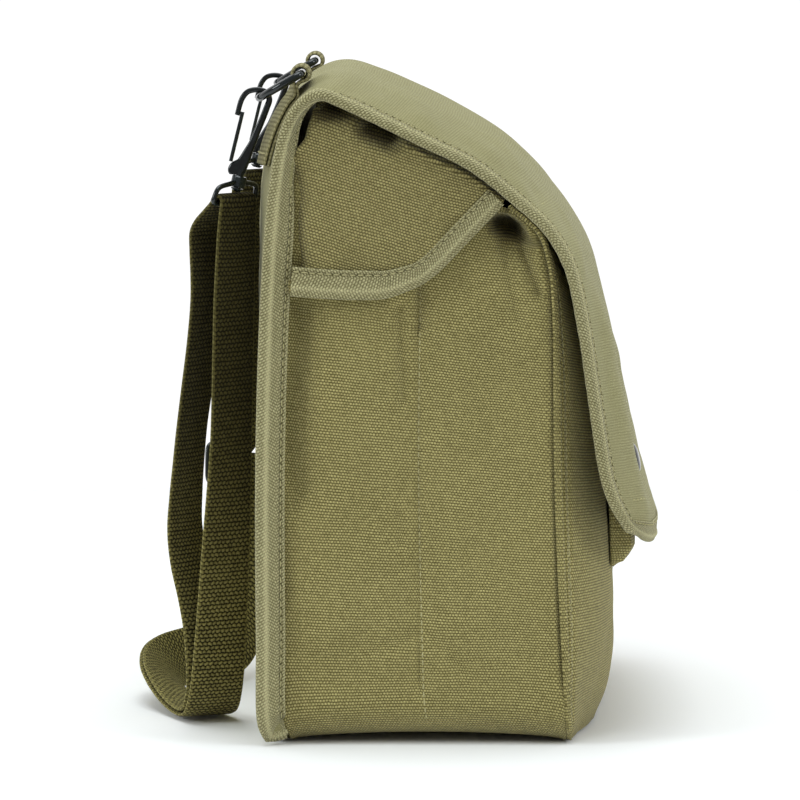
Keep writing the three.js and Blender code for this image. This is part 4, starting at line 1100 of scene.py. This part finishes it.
EAR_ACROSS = np.linspace(0, 1, 70)
EAR_DOWN = np.concatenate([np.linspace(0, EAR_FIRST, 8), np.linspace(EAR_FIRST, 1, 70)[1:]])
EAR_TILT = math.radians(-17)
EAR_BORDER_STEPS = 150
# Places where the ear sags from the flap's edge. Columns as below.
EAR_GAPS = [((20, 254), (12, 250), 4.2, 22), ((39, 261), (32, 260.5), 3.6, 16)]
# Soft dents in the ear. Columns: start and end as y, z, then width and depth.
EAR_DENTS = [
    ((36, 246), (14, 214), 7, 1.8), ((16, 238), (-12, 214), 6, 1.5), ((40, 222), (28, 200), 6, 1.1),
    ((-2, 226), (-20, 222), 4, 1.2),
]


def ear_grid():
    grid = ear_point(EAR_ACROSS[None], EAR_DOWN[:, None])
    calm = ease(EAR_DOWN, 0.3, 0.5)[:, None] * (1 - ease(EAR_DOWN, 0.85, 1))[:, None]
    calm = calm * ease(EAR_ACROSS, 0, 0.1)[None] * (1 - ease(EAR_ACROSS, 0.85, 1))[None]
    dents = 0.8 * waves(grid * [1, 0.7, 1], 48, 41) + 0.25 * waves(grid, 20, 42)
    dents = dents + creases(grid[..., 1], grid[..., 2], EAR_DENTS)
    grid[..., 0] += calm * dents + creases(grid[..., 1], grid[..., 2], EAR_GAPS)
    return grid


def ear_border():
    """The ear's lower and front edge as one smooth line with a rounded corner, and the way in from it."""
    places = [(a, 1.0) for a in (0, 0.22, 0.45, 0.65, 0.82, 0.94)]
    places += [(1.0, d) for d in (0.9, 0.7, 0.45, EAR_FIRST)]
    line = Line([ear_point(a, d) for a, d in places])
    edge = line.at(np.linspace(0, 1, EAR_BORDER_STEPS))
    ahead = unit(np.gradient(edge, axis=0))
    return edge, unit(point(0, ahead[:, 2], -ahead[:, 1]))


def ear_tape_width():
    return mix(*EAR_TAPE_WIDTHS, ease(np.linspace(0, 1, EAR_BORDER_STEPS), 0.3, 0.62))[:, None]


def ear_tape():
    edge, inward = ear_border()
    normal = np.broadcast_to([1.0, 0, 0], edge.shape)
    return tape_skin(edge, edge + inward * ear_tape_width(), normal, normal, loop=False)


def make_ears():
    grid = ear_grid()
    cos, sin = math.cos(EAR_TILT), math.sin(EAR_TILT)
    flat = grid[..., 1:] @ np.array([[cos, sin], [-sin, cos]])
    binding, shade = ear_tape()
    shade = shade * EAR_TAPE_SHADE
    for side, name in ((1, "left"), (-1, "right")):
        placed = grid * [side, 1, 1]
        ride = {"node": f"ear_{name}", "slot": "canvas"}
        sheet = cloth(f"ear_cloth_{name}", placed, CANVAS, shaded_ear_canvas, flat, **ride)
        part = binding if side == 1 else mirrored(binding)
        piece(f"ear_tape_{name}", *part, tape, node=f"ear_binding_{name}", slot="tape", shade=shade)


make_ears()


# Closure snaps

def flap_at(x, z):
    shares = np.linspace(FIN_FADE[1], 1, 1500)
    t = x / EDGE.at(shares)[:, 0]
    line = panel_point(shares, t)
    place = int(np.argmin(np.abs(line[:, 2] - z)))
    return line[place], panel_normal(shares[place], t[place])


def make_snaps():
    outline = [(0.01, 0), (5.9, 0), (6.25, 0.3), (SNAP_RADIUS, 0.6), (6.1, 1.0), (5.2, 1.6), (3.8, 2.05),
               (2.2, SNAP_RISE), (0.01, SNAP_RISE)]
    seat, normal = flap_at(-SNAP_X, SNAP_Z)
    rings = lathe_rings(outline, seat + normal * (CANVAS / 2 + SNAP_SEAT * 0.3), normal)
    pair("cap", skin(rings, plain_uv(rings)), black_metal, "snap_cap", "black_metal")
    for side in ("left", "right"):
        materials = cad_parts[f"snap_stud_{side}"].data.materials
        materials.clear()
        materials.append(black_metal)


make_snaps()


# D-ring tabs

def panel_at_height(x, z):
    shares = np.linspace(0, 0.5, 1200)
    t = FIN_ROOT * x / (EDGE.at(shares)[:, 0] - FIN_WIDTH * FIN_LEAN)
    line = panel_point(shares, t)
    place = int(np.searchsorted(line[:, 2], z))
    return line[place], panel_normal(shares[place], t[place])


def tab_path(dx):
    """The folded webbing's middle line: up the outside, round the ring's bar and down the inside."""
    x = -TAB_X + dx
    seats = [panel_at_height(x, z) for z in TAB_LAID]
    low = CANVAS / 2 + TAB_WEBBING / 2 + 0.1
    inside = [seat + normal * low for seat, normal in seats]
    outside = [seat + normal * (low + TAB_WEBBING + 0.05) for seat, normal in seats]
    angles = np.radians(np.linspace(-15, 215, 14))
    loop = [(x, TAB_LOOP[0] + TAB_LOOP_RADIUS * math.cos(a), TAB_LOOP[1] + TAB_LOOP_RADIUS * math.sin(a))
            for a in angles]
    return np.vstack([outside, loop, [(x, *TAB_UNDER)], inside[::-1]])


def make_tabs():
    half = TAB_WIDTH / 2
    paths = [Line(tab_path(dx)) for dx in (-half, half)]
    shares = np.linspace(0, 1, 150)
    left, right = (path.at(shares) for path in paths)
    widths = unit(right - left)
    rings, uv = band_rings((left + right) / 2, widths, TAB_WIDTH, TAB_WEBBING)
    pair("tab_webbing", skin(rings, uv), tab_webbing, "d_ring_tab", "webbing")


make_tabs()


# D-rings

def make_rings():
    bar = np.array([-TAB_X, *TAB_LOOP])
    reach = np.array([0, *(RING_APEX - TAB_LOOP)])
    depth = np.linalg.norm(reach)
    along = reach / depth
    corner = np.radians(np.linspace(-90, 0, 6))
    arc = np.linspace(0, math.pi, 40)
    turn = RING_CORNER
    right = [(RING_HALF - turn + turn * math.cos(a), turn + turn * math.sin(a)) for a in corner]
    bow = [(RING_HALF * math.cos(a), RING_LEG + (depth - RING_LEG) * math.sin(a)) for a in arc]
    flat = [*right, *bow, *((-p, q) for p, q in right[::-1])]
    path = np.array([bar + along * q + [p, 0, 0] for p, q in flat])
    rings = tube_rings(path, RING_WIRE, np.array([0, along[2], -along[1]]), closed=True)
    pair("ring", skin(rings, plain_uv(rings, True), loop=True), black_metal, "d_ring", "black_metal")


make_rings()


# Snap hooks, gates and eyes

SWIVEL_DOWN = unit(np.array([0, *(BOSS - RING_APEX)]))


def hook_part():
    line = Line([(0, y, z) for y, z, _ in HOOK_LINE])
    widths = Line([(w, 0, 0) for _, _, w in HOOK_LINE])
    rows = np.linspace(0, len(HOOK_LINE) - 1, 120)
    middle, width = line.by_row(rows), widths.by_row(rows)[:, 0] / 2
    tangent = unit(np.gradient(middle, axis=0))
    side = point(0 * width, tangent[:, 2], -tangent[:, 1])
    angle = np.linspace(0, 2 * math.pi, 20, endpoint=False)
    square = np.column_stack(rounded_square(angle, HOOK_SQUARE))
    rings = middle[:, None] + side[:, None] * (square[:, :1] * width[:, None, None])
    rings = rings + np.array([1, 0, 0]) * square[:, 1:] * HOOK_THICKNESS / 2
    rings[..., 0] -= TAB_X
    above, below = BOSS_HEIGHT / 2 + 2.4, BOSS_HEIGHT / 2 + SEAM_GAP
    outline = [(0.01, -below - 1.1), (1.7, -below - 1.1), (2.5, -below - 0.4), (2.5, -below),
               (STEM_RADIUS, -below), (STEM_RADIUS, above), (0.01, above)]
    stem = lathe_rings(outline, np.array([-TAB_X, *BOSS]), -SWIVEL_DOWN, 24)
    return join(skin(rings, plain_uv(rings)), skin(stem, plain_uv(stem)))


def gate_part():
    foot, top = np.array([-TAB_X, *PIVOT]), np.array([-TAB_X, *GATE_TOP])
    along = unit(top - foot)
    shares = np.linspace(0, 1, 30)
    width = GATE_WIDTH * (1 - 0.5 * ease(shares, 0.8, 1)) * (1 - 0.12 * np.sin(math.pi * shares))
    path = mix(foot, top, shares[:, None])
    half = band_section(1, GATE_THICKNESS, 7)
    section = np.vstack([half, half[::-1] * [1, -1]])
    face = np.cross(along, [1, 0, 0])
    rings = path[:, None] + face * section[:, 1:]
    rings[..., 0] += section[None, :, 0] * width[:, None]
    return skin(rings, plain_uv(rings))


def eye_part(x):
    centre = np.array([x, *BOSS])
    bar = np.array([math.sin(EYE_TURN), -math.cos(EYE_TURN), 0])
    end = BOSS_HEIGHT / 2
    outline = [(BOSS_HOLE, -end), (BOSS_RADIUS - 0.4, -end), (BOSS_RADIUS, -end + 0.5),
               (BOSS_RADIUS, end - 0.5), (BOSS_RADIUS - 0.4, end), (BOSS_HOLE, end)]
    boss = lathe_rings(outline, centre, -SWIVEL_DOWN, 32)
    half = [(BOSS_HOLE + 0.55, 0), (BOSS_RADIUS + 2, 0.6), (EYE_HALF - 1.3, EYE_DROP * 0.28),
            (EYE_HALF, EYE_DROP * 0.6), (EYE_HALF - 0.2, EYE_DROP)]
    corners = [*half, *((-p, q) for p, q in half[::-1])]
    bow = Line([(p, q, 0) for p, q in corners]).at(np.linspace(0, 1, 110))
    path = centre + bow[:, :1] * bar + bow[:, 1:2] * SWIVEL_DOWN
    wire = tube_rings(path, EYE_WIRE, unit(np.cross(bar, SWIVEL_DOWN)))
    return join(skin(boss, plain_uv(boss, True), loop=True), skin(wire, plain_uv(wire)))


def make_hooks():
    hook, gate = hook_part(), gate_part()
    for name, side in (("left", -1), ("right", 1)):
        shapes = (hook, gate) if side == -1 else (mirrored(hook), mirrored(gate))
        metal = {"material": black_metal, "slot": "black_metal"}
        piece(f"hook_{name}", *shapes[0], body=f"hook_{name}", node=f"snap_hook_{name}", **metal)
        piece(f"gate_{name}", *shapes[1], body=f"gate_{name}", node=f"snap_gate_{name}", **metal)
        piece(f"eye_{name}", *eye_part(side * TAB_X), node=f"snap_eye_{name}", **metal)


make_hooks()


# Strap slide

def make_slide():
    place = strap_frame(SLIDE_ROW)
    turns = np.linspace(0, 2 * math.pi, 64, endpoint=False)
    across, up = (side[:, None] for side in rounded_square(turns, SLIDE_SQUARE))
    path = place["middle"] + across * place["width"] * SLIDE_HALF + up * place["along"] * SLIDE_PITCH
    rim = tube_rings(path, SLIDE_WIRE, place["inward"], closed=True, sides=12)
    ends = np.linspace(-SLIDE_HALF, SLIDE_HALF, 12)[:, None]
    bar = tube_rings(place["middle"] + ends * place["width"], SLIDE_WIRE, place["inward"], sides=12)
    part = join(skin(rim, plain_uv(rim, True), loop=True), skin(bar, plain_uv(bar)))
    piece("slide", *part, black_metal, node="strap_slide", slot="black_metal")


make_slide()


# Stitches

STITCH = {"pitch": 3.3, "length": 2.3, "radius": 0.33, "rise": 0.24, "sunk": 0.12, "taper": 0.35}
# How deep the stitches lie in the tape, and on the front in its seam
TAPE_SINK = 0.3
SEAM_SINK = 0.6


def stitch_line(path, normal):
    """A row of stitches along a path: each lies on the cloth and dives in at both its ends."""
    steps = lengths(path)
    pitch = STITCH["pitch"]
    bow = np.linspace(-1, 1, 5)
    parts = []
    for place in np.arange(pitch / 2, steps[-1] - pitch / 2, pitch):
        along = place + bow * STITCH["length"] / 2
        middle = np.stack([np.interp(along, steps, column) for column in path.T], -1)
        up = unit(np.stack([np.interp(place, steps, column) for column in normal.T], -1))
        middle = middle + up * (STITCH["rise"] * (1 - bow**2) - STITCH["sunk"])[:, None]
        thick = STITCH["radius"] * (1 - STITCH["taper"] * bow**2)
        rings = tube_rings(middle, thick, up, sides=6)
        parts.append(skin(rings, plain_uv(rings)))
    return parts


TAPE_LIFT = CANVAS / 2 + TAPE_GAP + TAPE - TAPE_SINK


def on_sheet(points, normal, lift=CANVAS / 2):
    return stitch_line(points + normal * lift, normal)


def tape_stitches():
    """Rows of stitches in the groove on both faces of the panel's binding."""
    edge, inner, edge_normal, inner_normal = border_frames()
    path = mix(edge, inner, TAPE_GROOVE)
    normal = unit(mix(edge_normal, inner_normal, TAPE_GROOVE))
    return on_sheet(path, normal, TAPE_LIFT) + on_sheet(path, -normal, TAPE_LIFT)


def flap_strip():
    """Stitches at both ends of the strip that backs the snaps, on one side of the flap."""
    low, high, near, far = 0.72, 0.965, 0.745, 0.9
    t = -np.linspace(near, far, 30)
    rows = (np.full(len(t), end) for end in (low, high))
    return [part for u in rows for part in on_sheet(panel_point(u, t), panel_normal(u, t))]


def wall_seam():
    """Stitches down the middle of the left wall."""
    rows = GUSSET_LEFT[4:142]
    column = int(np.argmin(np.abs(rows[60, :, 1] - WALL_CREASE["y"])))
    under_ear = rows[:, column][rows[:, column, 2] < 190]
    return on_sheet(under_ear, np.broadcast_to([-1.0, 0, 0], under_ear.shape))


def front_seam():
    """Stitches along the left side of the front panel."""
    u = np.linspace(0.03, 1, 150)
    t = -(1 - FRONT_SEAM_INSET / WALL_X)
    return on_sheet(front_point(u, t), -sheet_normal(front_point, u, t), CANVAS / 2 - SEAM_SINK)


def ear_seam():
    """Stitches on the left ear's tape, near its inner edge."""
    edge, inward = ear_border()
    path = edge + inward * ear_tape_width() * TAPE_GROOVE
    return on_sheet(path, np.broadcast_to([-1.0, 0, 0], path.shape), TAPE_LIFT)


def tab_seam():
    """Stitches across the left tab, above its lower end."""
    rows = [panel_at_height(-TAB_X + dx, TAB_LAID[1]) for dx in np.linspace(-10, 10, 9)]
    path, normal = (np.array(column) for column in zip(*rows))
    return on_sheet(path, normal, CANVAS / 2 + 2 * TAB_WEBBING + 0.2)


def make_stitches():
    piece("binding_stitches", *join(*tape_stitches()), thread, slot="tape")
    left = join(*flap_strip(), *wall_seam(), *front_seam(), *ear_seam(), *tab_seam())
    piece("seam_stitches_left", *left, thread, slot="tape")
    piece("seam_stitches_right", *mirrored(left), thread, slot="tape")


make_stitches()


# Floor and light: a white backdrop behind the bag and a dimmer room on the camera's side

CAMERA_SIDE = 0.36
BACKDROP = 1.05
FLOOR_RADIUS = 0.9
COOL = (0.93, 1.0, 1.02)
BAG_MIDDLE = (0, 0, 0.14)
# Columns: name, place and size in metres, power.
LIGHTS = [
    ("top", (-0.3, 0.1, 2.2), 1.8, 31),
    ("front", (-1.2, -2.0, 1.2), 1.0, 16),
    ("behind", (-1.0, 2.0, 1.1), 1.0, 18),
]


def make_floor():
    turn = np.linspace(0, 2 * math.pi, 96, endpoint=False)
    mesh = bpy.data.meshes.new("floor")
    rim = [(FLOOR_RADIUS * math.cos(a), FLOOR_RADIUS * math.sin(a), -0.0002) for a in turn]
    mesh.from_pydata(rim, [], [list(range(len(rim)))])
    g = Graph("floor")
    mesh.materials.append(g.surface(linear(246, 246, 246), 0.9))
    floor = show("floor", mesh)


def make_world():
    """Light from all round. A camera sees the backdrop's white on every side."""
    world = bpy.data.worlds.new("studio")
    world.use_nodes = True
    nodes, links = world.node_tree.nodes, world.node_tree.links
    place = nodes.new("ShaderNodeTexCoord")
    parts = nodes.new("ShaderNodeSeparateXYZ")
    links.new(place.outputs["Generated"], parts.inputs[0])
    room = nodes.new("ShaderNodeMapRange")
    room.interpolation_type = "SMOOTHSTEP"
    ranges = {"From Min": -0.1, "From Max": 0.5, "To Min": CAMERA_SIDE, "To Max": BACKDROP}
    for key, value in ranges.items():
        room.inputs[key].default_value = value
    links.new(parts.outputs[0], room.inputs["Value"])
    seen = nodes.new("ShaderNodeMix")
    links.new(nodes.new("ShaderNodeLightPath").outputs["Is Camera Ray"], seen.inputs["Factor"])
    links.new(room.outputs[0], seen.inputs["A"])
    seen.inputs["B"].default_value = BACKDROP
    links.new(seen.outputs["Result"], nodes["Background"].inputs["Strength"])
    nodes["Background"].inputs["Color"].default_value = (1, 1, 1, 1)
    bpy.context.scene.world = world


def make_light(name, place, size, power):
    data = bpy.data.lights.new(name, "AREA")
    data.shape = "DISK"
    data.size = size
    data.energy = power
    data.color = COOL
    point_at(show(name, data), place, np.subtract(BAG_MIDDLE, place))


make_floor()
make_world()
for lamp in LIGHTS:
    make_light(*lamp)
bpy.context.scene.view_settings.view_transform = "Standard"
